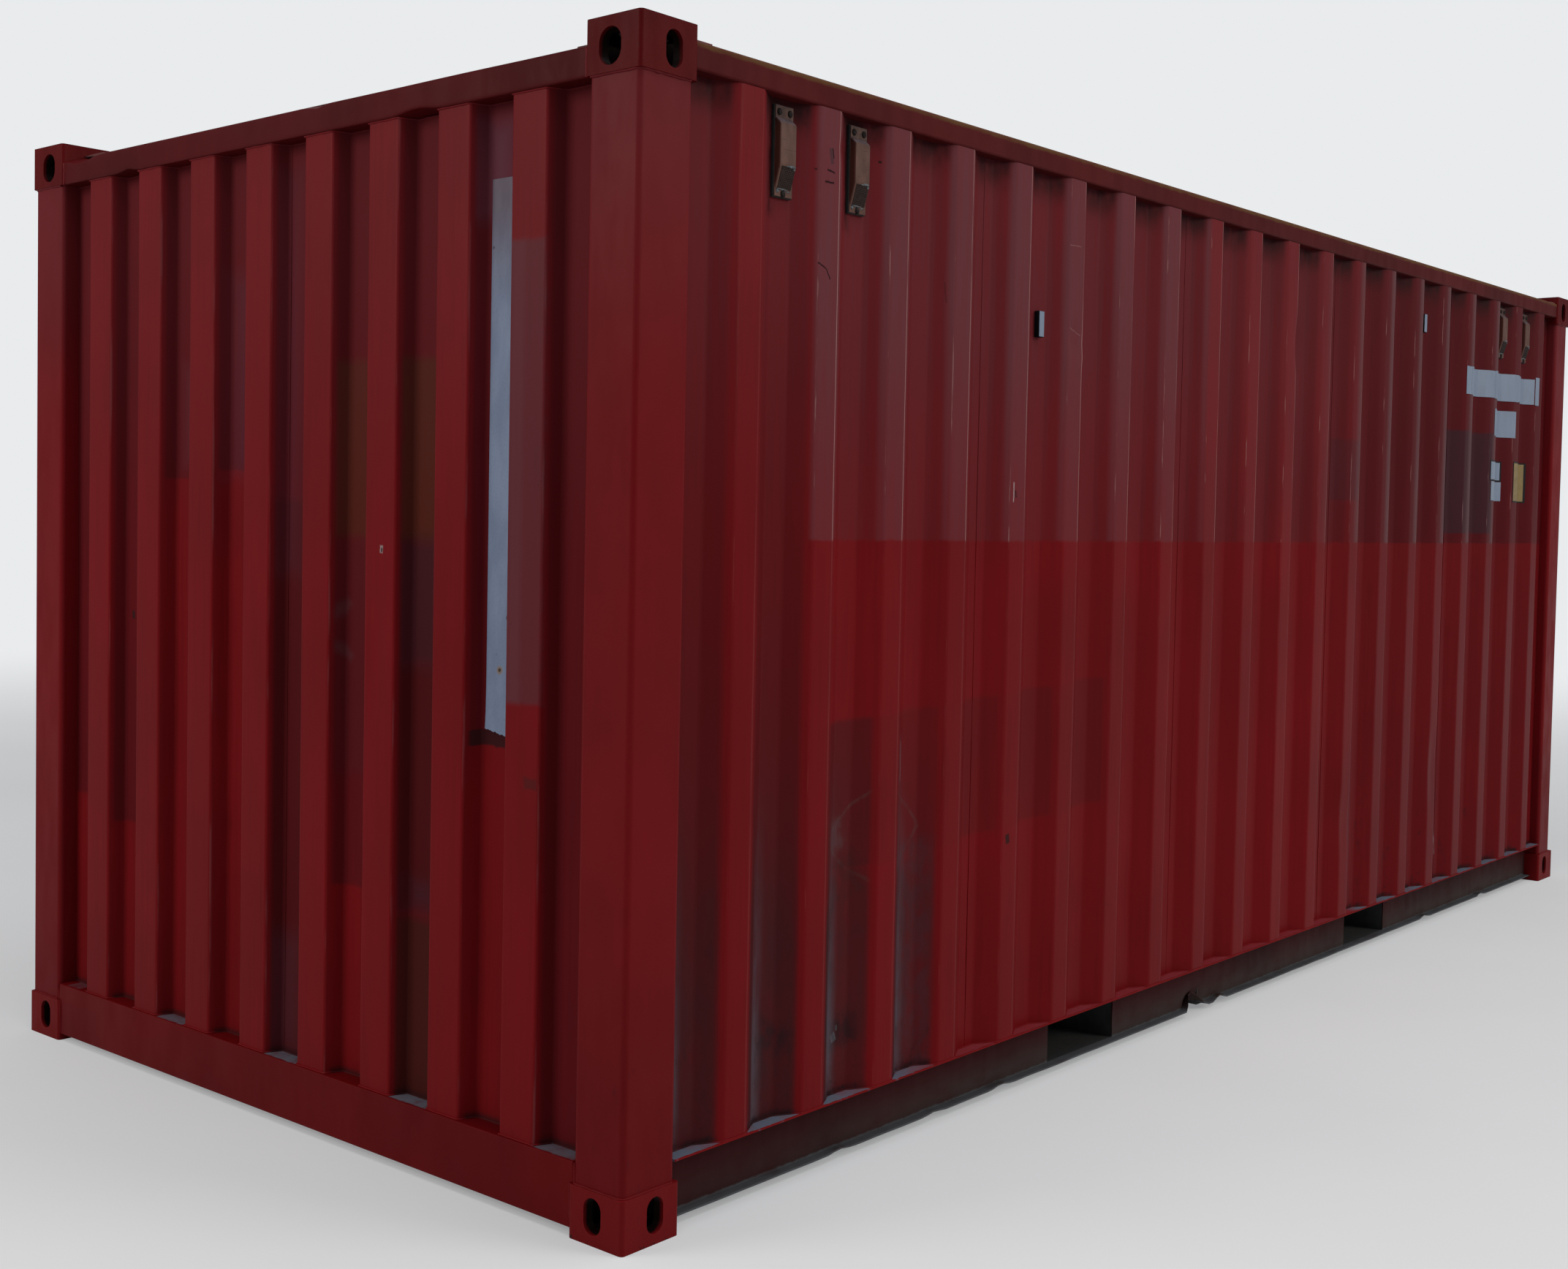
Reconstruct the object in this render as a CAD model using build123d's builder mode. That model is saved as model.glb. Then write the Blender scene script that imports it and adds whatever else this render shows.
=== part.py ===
"""Dry freight container, 20 ft long: a hollow box of rails, posts, pressed sheets and two doors.

The origin is the middle of the base. X runs along the length with the doors at +X, Y runs across
with the left side at -Y, and Z is up. Everything lies inside the planes of the corner fittings.
"""

import os
from math import atan2, degrees, pi, tan

from build123d import *

os.makedirs("parts", exist_ok=True)

# Overall size, to the outer faces of the corner fittings
length = 6058
width = 2438
height = 2591

# Corner fittings and their slots, measured from the outer faces
fitting_length = 178
fitting_width = 162
fitting_height = 118
fitting_wall = 28
fitting_back_wall = 12
fitting_round = 10
lock_slot_length = 124.5
lock_slot_width = 63.5
hand_slot_height = 79.5
hand_slot_width = 51
top_end_slot_width = 63.5
slot_from_end = 101.5
slot_from_side = 89
slot_from_face = 63.5

# Steelwork stands this far inside the fitting faces
frame_inset = 6

# Floor structure, from the underside up
base_clearance = 17
member_height = 120
member_flange = 45
member_thickness = 4
member_pitch = 300
floor_thickness = 28
floor_gap = 0.5

# Bottom side rails: channels that open outwards
rail_clearance = 19
rail_thickness = 4.5
rail_top_flange = 61
rail_bottom_lip = 28

# Fork pockets through the floor structure
pocket_width = 370
pocket_spacing = 2080
pocket_top_plate = 3
pocket_floor_depth = 200

# Top side rails: square tubes
tube_size = 60
tube_thickness = 3
tube_round = 6
tube_drop = 31

# Corner posts: pressed plate
post_thickness = 6
post_round = 14
front_post_width = 149
front_post_depth = 163
post_return = 60
rear_post_depth = 139
rear_post_width = 41
rear_post_inset = 30
stop_web = 113
stop_flange = 40
stop_thickness = 10
stop_lap = 30

# Front header rail, a closed pressing with a sloping top
header_face = 67
header_depth = 96
header_slope = 66
header_thickness = 4

# Front sill and door sill
sill_thickness = 4.5
sill_flange = 66
door_sill_depth = 105
door_sill_toe = 76
door_sill_bevel = 14

# Side walls
wall_sheet = 1.6
wall_pitch = 280
wall_crest = 74
wall_slope = 68
wall_depth = 36
wall_inset = 2

# Front end wall
end_sheet = 2
end_pitch = 250
end_crest = 110
end_slope = 18
end_depth = 45.6
end_inset = 8

# Roof sheet with stamped ribs
roof_sheet = 2
roof_edge = 8
rib_pitch = 209
rib_base = 118
rib_crown = 91
rib_height = 20
rib_border = 95
corner_plate = 3
corner_plate_gap = 14
corner_plate_length = 165
corner_plate_width = 245

# Door header, with a recess under its brow for the cams
door_header_depth = 105
door_header_drop = 20
door_header_brow = 44
door_header_bevel = 12
door_header_thickness = 4

# Doors
door_recess = 51
door_gap = 7.5
door_split = 10
door_thickness = 50
door_stile = 100
door_rail = 150
door_tube_thickness = 3.2
cam_face_step = 3
panel_sheet = 2
panel_ribs = 5
panel_hollow = 72
panel_slope = 68
panel_depth = 36
panel_inset = 3
gasket_depth = 20
gasket_inset = 12
gasket_split = 2

# Locking bars with their cams
bar_radius = 17
bar_bore = 14.5
bar_stand_off = 27
bar_overreach = 45
bar_from_split = 205
bar_from_edge = 325
cam_height = 30
cam_width = 44
cam_gap = 8
hub_height = 60
hub_radius = 22

# Cam keepers on the door header and door sill
keeper_height = 40
keeper_width = 80
keeper_plate = 4
keeper_cheek = 9
keeper_reach = 28

# Bar guides, bent straps on the flats of the door panels
guide_flats = (0, 1, 4, 5)
guide_width = 84
guide_height = 50
guide_play = 0.5
guide_strap = 5
guide_bends = 4

# Handles and their catches
handle_flats = (2, 3)
handle_end_gap = 160
handle_height = 32
handle_thickness = 10
catch_back = 90
catch_width = 60
catch_height = 96
catch_plate = 6
catch_ledge = 8

# Hinges
hinges = 4
hinge_from_foot = 72.5
hinge_from_head = 95.5
hinge_height = 95
hinge_pin = 8
hinge_play = 0.2
knuckle_radius = 13
hinge_blade = 10
hinge_reach = 190
hinge_step = 24
lug_height = 20
lug_corner = 7
lug_gap = 0.5
lug_depth = 14
hinge_from_side = 24

# Ventilators in the hollows of the side walls
vent_height = 204
vent_width = 66
vent_cover = 54
vent_base = 3
vent_stand = 27
vent_top_run = 18
vent_slope_run = 76
vent_rim = 10
vent_below_rail = 16

# Planes and levels shared by the pieces
end_x = length / 2
side_y = width / 2
fitting_x = end_x - fitting_length
fitting_y = side_y - fitting_width
steel_x = end_x - frame_inset
steel_y = side_y - frame_inset
post_foot = fitting_height
post_top = height - fitting_height
floor_base = base_clearance + member_height
floor_top = floor_base + floor_thickness
tube_top = height - tube_drop
tube_base = tube_top - tube_size
web_y = steel_y - rail_top_flange
front_post_x = steel_x - front_post_depth
front_post_y = steel_y - front_post_width
rear_face_x = end_x - rear_post_inset
rear_post_x = rear_face_x - rear_post_depth
rear_post_y = steel_y - rear_post_width
door_x = end_x - door_recess
door_back = door_x - door_thickness
stop_x = door_back - door_gap
cam_face_x = door_x + cam_face_step
door_header_base = post_top - door_header_drop
door_foot = floor_top + door_gap
door_head = door_header_base - door_gap
door_edge = rear_post_y - door_gap
leaf_width = door_edge - door_split / 2
leaf_height = door_head - door_foot
leaf_middle = (door_edge + door_split / 2) / 2
leaf_level = (door_head + door_foot) / 2
panel_x = door_x - panel_inset
panel_foot = door_foot + door_rail
panel_height = leaf_height - 2 * door_rail
panel_pitch = panel_height / panel_ribs
panel_flat = panel_pitch - panel_hollow - 2 * panel_slope
bar_x = door_x + bar_stand_off
inner_bar = door_split / 2 + bar_from_split
outer_bar = door_edge - bar_from_edge
handle_length = outer_bar - inner_bar - handle_end_gap
hinge_foot = door_foot + hinge_from_foot
hinge_rise = (door_head - hinge_from_head - hinge_foot) / (hinges - 1)
wall_y = steel_y - wall_inset
hollow_y = wall_y - wall_depth
pin_x = rear_face_x + lug_depth
pin_y = steel_y - hinge_from_side
roof_x = steel_x - header_slope
plate_x = roof_x - corner_plate_length

# How many crests and ribs the sheets have room for
wall_crests = 1 + int((front_post_x + rear_post_x - wall_crest - 2 * wall_slope) / wall_pitch)
end_crests = 1 + int((2 * front_post_y - end_crest - 2 * end_slope) / end_pitch)
roof_ribs = 1 + int((2 * (plate_x - corner_plate_gap) - rib_base) / rib_pitch)
vent_hollows = (0, 1, wall_crests - 3, wall_crests - 2)

# Each hinge's level, and each lever's bar, flat and the way it reaches
hinge_levels = [hinge_foot + index * hinge_rise for index in range(hinges)]
levers = ((inner_bar, handle_flats[0], 1), (outer_bar, handle_flats[1], -1))


def save(piece, node):
    """Names a finished piece and writes it."""
    piece.part.label = node
    export_step(piece.part, f"parts/{node}.step")


def wave(count, pitch, crest, slope, start, stop, hollow, top):
    """Points along the outer face of a pressed sheet: crests at one level, hollows at the other."""
    points = [(start, hollow)]
    for index in range(count):
        middle = (index - (count - 1) / 2) * pitch
        points.append((middle - crest / 2 - slope, hollow))
        points.append((middle - crest / 2, top))
        points.append((middle + crest / 2, top))
        points.append((middle + crest / 2 + slope, hollow))
    points.append((stop, hollow))
    return points


def flat_level(index):
    """Height of the middle of a flat band between two hollows of a door panel."""
    if index == 0:
        return panel_foot + panel_flat / 4
    if index == panel_ribs:
        return panel_foot + panel_height - panel_flat / 4
    return panel_foot + index * panel_pitch


def cut_fittings():
    """Takes the room of the eight corner fittings out of the piece that is being built."""
    for level in (fitting_height / 2, height - fitting_height / 2):
        with Locations((0, 0, level)):
            with GridLocations(length - fitting_length, width - fitting_width, 2, 2):
                Box(fitting_length, fitting_width, fitting_height, mode=Mode.SUBTRACT)


def corner_fitting(node, end, side, top):
    """A hollow casting with a slot in each outer face."""
    face = height if top else 0
    inward = -1 if top else 1
    level = face + inward * fitting_height / 2
    slot_level = face + inward * slot_from_face
    end_slot_width = top_end_slot_width if top else hand_slot_width
    middle_x = end * (end_x - fitting_length / 2)
    middle_y = side * (side_y - fitting_width / 2)
    slot_x = end * (end_x - slot_from_end)
    slot_y = side * (side_y - slot_from_side)
    shift = (fitting_wall - fitting_back_wall) / 2
    walls = fitting_wall + fitting_back_wall
    with BuildPart() as fitting:
        with Locations((middle_x, middle_y, level)):
            Box(fitting_length, fitting_width, fitting_height)
        fillet(fitting.edges().filter_by(Axis.Z), radius=fitting_round)
        with Locations((middle_x - end * shift, middle_y - side * shift, level + inward * shift)):
            Box(fitting_length - walls, fitting_width - walls, fitting_height - walls, mode=Mode.SUBTRACT)
        with BuildSketch(Plane(origin=(slot_x, slot_y, face), x_dir=(1, 0, 0), z_dir=(0, 0, -inward))):
            SlotOverall(lock_slot_length, lock_slot_width)
        extrude(amount=-fitting_wall, mode=Mode.SUBTRACT)
        with BuildSketch(Plane(origin=(slot_x, side * side_y, slot_level), x_dir=(1, 0, 0), z_dir=(0, side, 0))):
            SlotOverall(hand_slot_height, hand_slot_width, rotation=90)
        extrude(amount=-fitting_wall, mode=Mode.SUBTRACT)
        with BuildSketch(Plane(origin=(end * end_x, slot_y, slot_level), x_dir=(0, 1, 0), z_dir=(end, 0, 0))):
            SlotOverall(hand_slot_height, end_slot_width, rotation=90)
        extrude(amount=-fitting_wall, mode=Mode.SUBTRACT)
    save(fitting, node)


def front_post(node, side):
    """A pressed section, open towards the inside, between two fittings."""
    with BuildPart() as post:
        with BuildSketch(Plane.XY.offset(post_foot)):
            with BuildLine():
                path = FilletPolyline(
                    (-steel_x + post_return, side * front_post_y),
                    (-steel_x, side * front_post_y),
                    (-steel_x, side * steel_y),
                    (-front_post_x, side * steel_y),
                    (-front_post_x, side * (steel_y - post_return)),
                    radius=post_round,
                )
                offset(path, amount=post_thickness, side=Side.LEFT if side < 0 else Side.RIGHT)
            make_face()
        extrude(amount=post_top - post_foot)
    save(post, node)


def rear_post(node, side):
    """The pressed outer section, the channel the door shuts against, and the hinge lugs and pins."""
    with BuildPart() as post:
        with BuildSketch(Plane.XY.offset(post_foot)):
            with BuildLine():
                path = FilletPolyline(
                    (rear_post_x, side * (steel_y - post_return)),
                    (rear_post_x, side * steel_y),
                    (rear_face_x, side * steel_y),
                    (rear_face_x, side * rear_post_y),
                    (stop_x - stop_lap, side * rear_post_y),
                    radius=post_round,
                )
                offset(path, amount=post_thickness, side=Side.LEFT if side < 0 else Side.RIGHT)
            make_face()
        extrude(amount=post_top - post_foot)
        with BuildSketch(Plane.XY.offset(floor_top)):
            with Locations((stop_x - stop_web / 2, side * (rear_post_y - stop_flange / 2))):
                Rectangle(stop_web, stop_flange)
            with Locations((stop_x - stop_web / 2, side * (rear_post_y - stop_flange / 2 - stop_thickness))):
                Rectangle(stop_web - 2 * stop_thickness, stop_flange, mode=Mode.SUBTRACT)
        extrude(amount=door_header_base - floor_top)
        for level in hinge_levels:
            foot = level - hinge_height / 2
            for lug_foot in (foot, foot + hinge_height - lug_height):
                with BuildSketch(Plane.XY.offset(lug_foot)):
                    Polygon(
                        (rear_face_x - post_thickness, side * pin_y - knuckle_radius),
                        (pin_x + knuckle_radius - lug_corner, side * pin_y - knuckle_radius),
                        (pin_x + knuckle_radius, side * pin_y - knuckle_radius + lug_corner),
                        (pin_x + knuckle_radius, side * pin_y + knuckle_radius - lug_corner),
                        (pin_x + knuckle_radius - lug_corner, side * pin_y + knuckle_radius),
                        (rear_face_x - post_thickness, side * pin_y + knuckle_radius),
                        align=None,
                    )
                extrude(amount=lug_height)
            with BuildSketch(Plane.XY.offset(foot)):
                with Locations((pin_x, side * pin_y)):
                    Circle(hinge_pin)
            extrude(amount=hinge_height)
    save(post, node)


def side_wall(node, side):
    """A pressed sheet between the bottom rail, the top rail and two posts."""
    points = wave(
        wall_crests, wall_pitch, wall_crest, wall_slope, -front_post_x, rear_post_x, hollow_y, wall_y
    )
    with BuildPart() as wall:
        with BuildSketch(Plane.XY.offset(floor_top)):
            with BuildLine():
                face = Polyline([(x, side * y) for x, y in points])
                offset(
                    face,
                    amount=wall_sheet,
                    side=Side.LEFT if side < 0 else Side.RIGHT,
                    kind=Kind.INTERSECTION,
                )
            make_face()
        extrude(amount=tube_base - floor_top)
        cut_fittings()
    save(wall, node)


def top_rail(node, side):
    """A square tube between two top fittings."""
    with BuildPart() as rail:
        with BuildSketch(Plane.YZ.offset(-fitting_x)):
            with Locations((side * (steel_y - tube_size / 2), (tube_top + tube_base) / 2)):
                RectangleRounded(tube_size, tube_size, tube_round)
                RectangleRounded(
                    tube_size - 2 * tube_thickness,
                    tube_size - 2 * tube_thickness,
                    tube_round - tube_thickness,
                    mode=Mode.SUBTRACT,
                )
        extrude(amount=2 * fitting_x)
    save(rail, node)


def bottom_rail(node, side):
    """A channel that opens outwards, its web cut away at the fork pockets."""
    with BuildPart() as rail:
        with BuildSketch(Plane.YZ.offset(-front_post_x)):
            with BuildLine():
                path = Polyline(
                    (side * steel_y, floor_top),
                    (side * web_y, floor_top),
                    (side * web_y, rail_clearance),
                    (side * (web_y + rail_bottom_lip), rail_clearance),
                )
                offset(
                    path,
                    amount=rail_thickness,
                    side=Side.RIGHT if side < 0 else Side.LEFT,
                    kind=Kind.INTERSECTION,
                )
            make_face()
        extrude(amount=front_post_x + rear_post_x)
        with BuildSketch(Plane.XZ):
            with Locations((0, (rail_clearance + floor_top) / 2)):
                with GridLocations(pocket_spacing, 0, 2, 1):
                    Rectangle(pocket_width, floor_top - rail_clearance - 2 * rail_thickness)
        extrude(amount=-side * side_y, mode=Mode.SUBTRACT)
        cut_fittings()
    save(rail, node)


def fork_pocket(node, end):
    """A tunnel across the floor: two channels, a top plate, and a floor plate at each mouth."""
    middle = end * pocket_spacing / 2
    with BuildPart() as pocket:
        for wall in (-1, 1):
            near = middle + wall * pocket_width / 2
            with BuildSketch(Plane.XZ.offset(-web_y)):
                with BuildLine():
                    path = Polyline(
                        (near + wall * member_flange, floor_base),
                        (near, floor_base),
                        (near, base_clearance),
                        (near + wall * member_flange, base_clearance),
                    )
                    offset(
                        path,
                        amount=member_thickness,
                        side=Side.LEFT if wall > 0 else Side.RIGHT,
                        kind=Kind.INTERSECTION,
                    )
                make_face()
            extrude(amount=2 * web_y)
        with Locations((middle, 0, floor_base - pocket_top_plate / 2)):
            Box(pocket_width, 2 * web_y, pocket_top_plate)
        with Locations((middle, 0, rail_clearance + rail_thickness / 2)):
            with GridLocations(0, 2 * web_y - pocket_floor_depth, 1, 2):
                Box(pocket_width, pocket_floor_depth, rail_thickness)
    save(pocket, node)


def door_frame(node, side):
    """Four tubes round one door leaf, hollow inside."""
    with BuildPart() as frame:
        with BuildSketch(Plane.YZ.offset(door_back)):
            with Locations((side * leaf_middle, leaf_level)):
                Rectangle(leaf_width, leaf_height)
                Rectangle(leaf_width - 2 * door_stile, leaf_height - 2 * door_rail, mode=Mode.SUBTRACT)
        extrude(amount=door_thickness)
        with BuildSketch(Plane.YZ.offset(door_back + door_tube_thickness)):
            with Locations((side * leaf_middle, leaf_level)):
                Rectangle(leaf_width - 2 * door_tube_thickness, leaf_height - 2 * door_tube_thickness)
                Rectangle(
                    leaf_width - 2 * door_stile + 2 * door_tube_thickness,
                    leaf_height - 2 * door_rail + 2 * door_tube_thickness,
                    mode=Mode.SUBTRACT,
                )
        extrude(amount=door_thickness - 2 * door_tube_thickness, mode=Mode.SUBTRACT)
    save(frame, node)


def door_panel(node, side):
    """The pressed sheet inside one door frame, with level hollows."""
    points = [(panel_x, panel_foot)]
    for index in range(panel_ribs):
        start = panel_foot + index * panel_pitch + panel_flat / 2
        points.append((panel_x, start))
        points.append((panel_x - panel_depth, start + panel_slope))
        points.append((panel_x - panel_depth, start + panel_slope + panel_hollow))
        points.append((panel_x, start + 2 * panel_slope + panel_hollow))
    points.append((panel_x, panel_foot + panel_height))
    panel_width = leaf_width - 2 * door_stile
    with BuildPart() as panel:
        with BuildSketch(Plane.XZ.offset(-side * leaf_middle - panel_width / 2)):
            with BuildLine():
                face = Polyline(points)
                offset(face, amount=panel_sheet, side=Side.LEFT, kind=Kind.INTERSECTION)
            make_face()
        extrude(amount=panel_width)
    save(panel, node)


def locking_bars(node, side):
    """Two upright tubes with a cam at each end and a hub for the handle."""
    low = floor_top - bar_overreach
    high = door_header_base + bar_overreach
    with BuildPart() as bars:
        for place, flat, hand in levers:
            with BuildSketch(Plane.XY.offset(low)):
                with Locations((bar_x, side * place)):
                    Circle(bar_radius)
            extrude(amount=high - low)
            for level in (low + cam_height / 2, high - cam_height / 2):
                with Locations((bar_x, side * place, level)):
                    Box(
                        bar_x - cam_face_x - cam_gap,
                        cam_width,
                        cam_height,
                        align=(Align.MAX, Align.CENTER, Align.CENTER),
                    )
            with Locations((bar_x, side * place, flat_level(flat))):
                Cylinder(hub_radius, hub_height)
                with Locations((0, side * hand * bar_radius, 0)):
                    Box(
                        handle_thickness,
                        hub_radius,
                        handle_height,
                        align=(Align.CENTER, Align.MIN if side * hand > 0 else Align.MAX, Align.CENTER),
                        mode=Mode.SUBTRACT,
                    )
            with BuildSketch(Plane.XY.offset(low)):
                with Locations((bar_x, side * place)):
                    Circle(bar_bore)
            extrude(amount=high - low, mode=Mode.SUBTRACT)
    save(bars, node)


def door_handles(node, side):
    """Two flat levers, each seated in the hub of its bar."""
    with BuildPart() as handles:
        for place, flat, hand in levers:
            near = place + hand * bar_radius
            far = place + hand * handle_length
            with BuildSketch(Plane.YZ.offset(bar_x - handle_thickness / 2)):
                with Locations((side * (near + far) / 2, flat_level(flat))):
                    Rectangle(abs(far - near), handle_height)
            extrude(amount=handle_thickness)
    save(handles, node)


def door_brackets(node, side):
    """On the door panel, straps over the locking bars and ledges under the ends of the levers."""
    reach = bar_radius + guide_play
    corner = reach * tan(pi / (2 * guide_bends))
    hook_x = bar_x + handle_thickness / 2 + catch_ledge
    with BuildPart() as brackets:
        for place in (inner_bar, outer_bar):
            for flat in guide_flats:
                with BuildSketch(Plane.XY.offset(flat_level(flat) - guide_height / 2)):
                    with BuildLine():
                        strap = Polyline(
                            (panel_x, side * place - guide_width / 2),
                            (panel_x, side * place - reach),
                            (bar_x + corner, side * place - reach),
                            (bar_x + reach, side * place - corner),
                            (bar_x + reach, side * place + corner),
                            (bar_x + corner, side * place + reach),
                            (panel_x, side * place + reach),
                            (panel_x, side * place + guide_width / 2),
                        )
                        offset(strap, amount=guide_strap, side=Side.RIGHT, kind=Kind.INTERSECTION)
                    make_face()
                extrude(amount=guide_height)
        for place, flat, hand in levers:
            middle = side * (place + hand * (handle_length - catch_back))
            ledge_top = flat_level(flat) - handle_height / 2
            with BuildSketch(Plane.XZ.offset(-middle - catch_width / 2)):
                with Locations((panel_x + catch_plate / 2, flat_level(flat))):
                    Rectangle(catch_plate, catch_height)
                Polygon(
                    (panel_x, ledge_top),
                    (hook_x, ledge_top),
                    (hook_x, ledge_top - catch_ledge),
                    (panel_x, ledge_top - 2 * catch_ledge),
                    align=None,
                )
            extrude(amount=catch_width)
    save(brackets, node)


def hinge_blades(node, side):
    """Flat blades from a knuckle on the pin, stepped down on to the door frame."""
    blade_x = pin_x - hinge_blade / 2
    blade_height = hinge_height - 2 * lug_height - 2 * lug_gap
    with BuildPart() as blades:
        for level in hinge_levels:
            foot = level - blade_height / 2
            with BuildSketch(Plane.XY.offset(foot)):
                with BuildLine():
                    path = Polyline(
                        (blade_x, side * pin_y),
                        (blade_x, side * rear_post_y),
                        (door_x, side * (rear_post_y - hinge_step)),
                        (door_x, side * (rear_post_y - hinge_reach)),
                    )
                    offset(
                        path,
                        amount=hinge_blade,
                        side=Side.RIGHT if side < 0 else Side.LEFT,
                        kind=Kind.INTERSECTION,
                    )
                make_face()
                with Locations((pin_x, side * pin_y)):
                    Circle(knuckle_radius)
                    Circle(hinge_pin + hinge_play, mode=Mode.SUBTRACT)
            extrude(amount=blade_height)
    save(blades, node)


def ventilators(node, side):
    """Moulded hoods on base plates, in the hollows near each end of a side wall."""
    top = tube_base - vent_below_rail
    foot = top - vent_height
    base_y = hollow_y + vent_base
    hood_y = hollow_y + vent_stand
    with BuildPart() as vents:
        for hollow in vent_hollows:
            middle = (hollow + 1 - wall_crests / 2) * wall_pitch
            with BuildSketch(Plane.YZ.offset(middle - vent_width / 2)):
                with Locations((side * (hollow_y + base_y) / 2, (top + foot) / 2)):
                    Rectangle(vent_base, vent_height)
            extrude(amount=vent_width)
            with BuildSketch(Plane.YZ.offset(middle - vent_cover / 2)):
                Polygon(
                    (side * hollow_y, top - vent_rim),
                    (side * base_y, top - vent_rim),
                    (side * hood_y, top - vent_rim - vent_top_run),
                    (side * hood_y, foot + vent_rim + vent_slope_run),
                    (side * base_y, foot + vent_rim),
                    (side * hollow_y, foot + vent_rim),
                    align=None,
                )
            extrude(amount=vent_cover)
    save(vents, node)


# Corner fittings and posts
for end_name, end in (("front", -1), ("rear", 1)):
    for side_name, side in (("left", -1), ("right", 1)):
        corner_fitting(f"{end_name}_{side_name}_bottom_fitting", end, side, top=False)
        corner_fitting(f"{end_name}_{side_name}_top_fitting", end, side, top=True)

# Both long sides with what they carry
for side_name, side in (("left", -1), ("right", 1)):
    front_post(f"front_{side_name}_post", side)
    rear_post(f"rear_{side_name}_post", side)
    side_wall(f"{side_name}_side_wall", side)
    top_rail(f"{side_name}_top_rail", side)
    bottom_rail(f"{side_name}_bottom_rail", side)
    ventilators(f"{side_name}_ventilators", side)
    door_frame(f"{side_name}_door_frame", side)
    door_panel(f"{side_name}_door_panel", side)
    locking_bars(f"{side_name}_locking_bars", side)
    door_handles(f"{side_name}_door_handles", side)
    door_brackets(f"{side_name}_door_brackets", side)
    hinge_blades(f"{side_name}_hinge_blades", side)

# Fork pockets
fork_pocket("front_fork_pocket", -1)
fork_pocket("rear_fork_pocket", 1)

# A rubber strip fills the gap round each door leaf
gasket_inner = gasket_split / 2
with BuildPart() as door_gaskets:
    for side in (-1, 1):
        with BuildSketch(Plane.YZ.offset(door_back + gasket_inset)):
            with Locations((side * (rear_post_y + gasket_inner) / 2, leaf_level)):
                Rectangle(rear_post_y - gasket_inner, door_header_base - floor_top)
            with Locations((side * leaf_middle, leaf_level)):
                Rectangle(leaf_width, leaf_height, mode=Mode.SUBTRACT)
        extrude(amount=gasket_depth)
save(door_gaskets, "door_gaskets")

# Cam keepers: a plate with two cheeks beside each cam, on the sill and on the header
keeper_levels = (
    floor_top - bar_overreach + cam_height / 2,
    door_header_base + bar_overreach - cam_height / 2,
)
with BuildPart() as cam_keepers:
    for level in keeper_levels:
        for place in (-outer_bar, -inner_bar, inner_bar, outer_bar):
            with BuildSketch(Plane.XY.offset(level - keeper_height / 2)):
                with Locations((cam_face_x + keeper_plate / 2, place)):
                    Rectangle(keeper_plate, keeper_width)
                with Locations((cam_face_x + keeper_reach / 2, place)):
                    with GridLocations(0, keeper_width - keeper_cheek, 1, 2):
                        Rectangle(keeper_reach, keeper_cheek)
            extrude(amount=keeper_height)
save(cam_keepers, "cam_keepers")

# Front header rail
with BuildPart() as front_header_rail:
    with BuildSketch(Plane.XZ.offset(-fitting_y)):
        Polygon(
            (-steel_x, post_top),
            (-steel_x, post_top + header_face),
            (-roof_x, tube_top),
            (-steel_x + header_depth, tube_top),
            (-steel_x + header_depth, post_top),
            align=None,
        )
        offset(amount=-header_thickness, mode=Mode.SUBTRACT)
    extrude(amount=2 * fitting_y)
save(front_header_rail, "front_header_rail")

# Front sill, a channel with its back to the outside
with BuildPart() as front_sill:
    with BuildSketch(Plane.XZ.offset(-front_post_y)):
        with BuildLine():
            sill_line = Polyline(
                (-steel_x + sill_flange, floor_top),
                (-steel_x, floor_top),
                (-steel_x, rail_clearance),
                (-steel_x + sill_flange, rail_clearance),
            )
            offset(sill_line, amount=sill_thickness, side=Side.LEFT, kind=Kind.INTERSECTION)
        make_face()
    extrude(amount=2 * front_post_y)
    cut_fittings()
save(front_sill, "front_sill")

# Front end wall
with BuildPart() as front_end_wall:
    with BuildSketch(Plane.XY.offset(floor_top)):
        end_points = wave(
            end_crests,
            end_pitch,
            end_crest,
            end_slope,
            -front_post_y,
            front_post_y,
            -steel_x + end_inset + end_depth,
            -steel_x + end_inset,
        )
        with BuildLine():
            end_line = Polyline([(x, y) for y, x in end_points])
            offset(end_line, amount=end_sheet, side=Side.RIGHT, kind=Kind.INTERSECTION)
        make_face()
    extrude(amount=post_top - floor_top)
save(front_end_wall, "front_end_wall")

# Door sill, with a toe that reaches out under the cams
with BuildPart() as door_sill:
    with BuildSketch(Plane.XZ.offset(-rear_post_y)):
        with BuildLine():
            door_sill_line = Polyline(
                (cam_face_x - door_sill_depth, floor_top),
                (cam_face_x, floor_top),
                (cam_face_x, rail_clearance + door_sill_toe + door_sill_bevel),
                (steel_x, rail_clearance + door_sill_toe),
                (steel_x, rail_clearance),
                (cam_face_x - door_sill_depth, rail_clearance),
            )
            offset(door_sill_line, amount=sill_thickness, side=Side.RIGHT, kind=Kind.INTERSECTION)
        make_face()
    extrude(amount=2 * rear_post_y)
    cut_fittings()
save(door_sill, "door_sill")

# Door header, with a brow over the cams
with BuildPart() as door_header:
    with BuildSketch(Plane.XZ.offset(-rear_post_y)):
        Polygon(
            (cam_face_x - door_header_depth, door_header_base),
            (cam_face_x, door_header_base),
            (cam_face_x, tube_top - door_header_brow - door_header_bevel),
            (steel_x, tube_top - door_header_brow),
            (steel_x, tube_top),
            (cam_face_x - door_header_depth, tube_top),
            align=None,
        )
        offset(amount=-door_header_thickness, mode=Mode.SUBTRACT)
    extrude(amount=2 * rear_post_y)
    cut_fittings()
save(door_header, "door_header")

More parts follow.
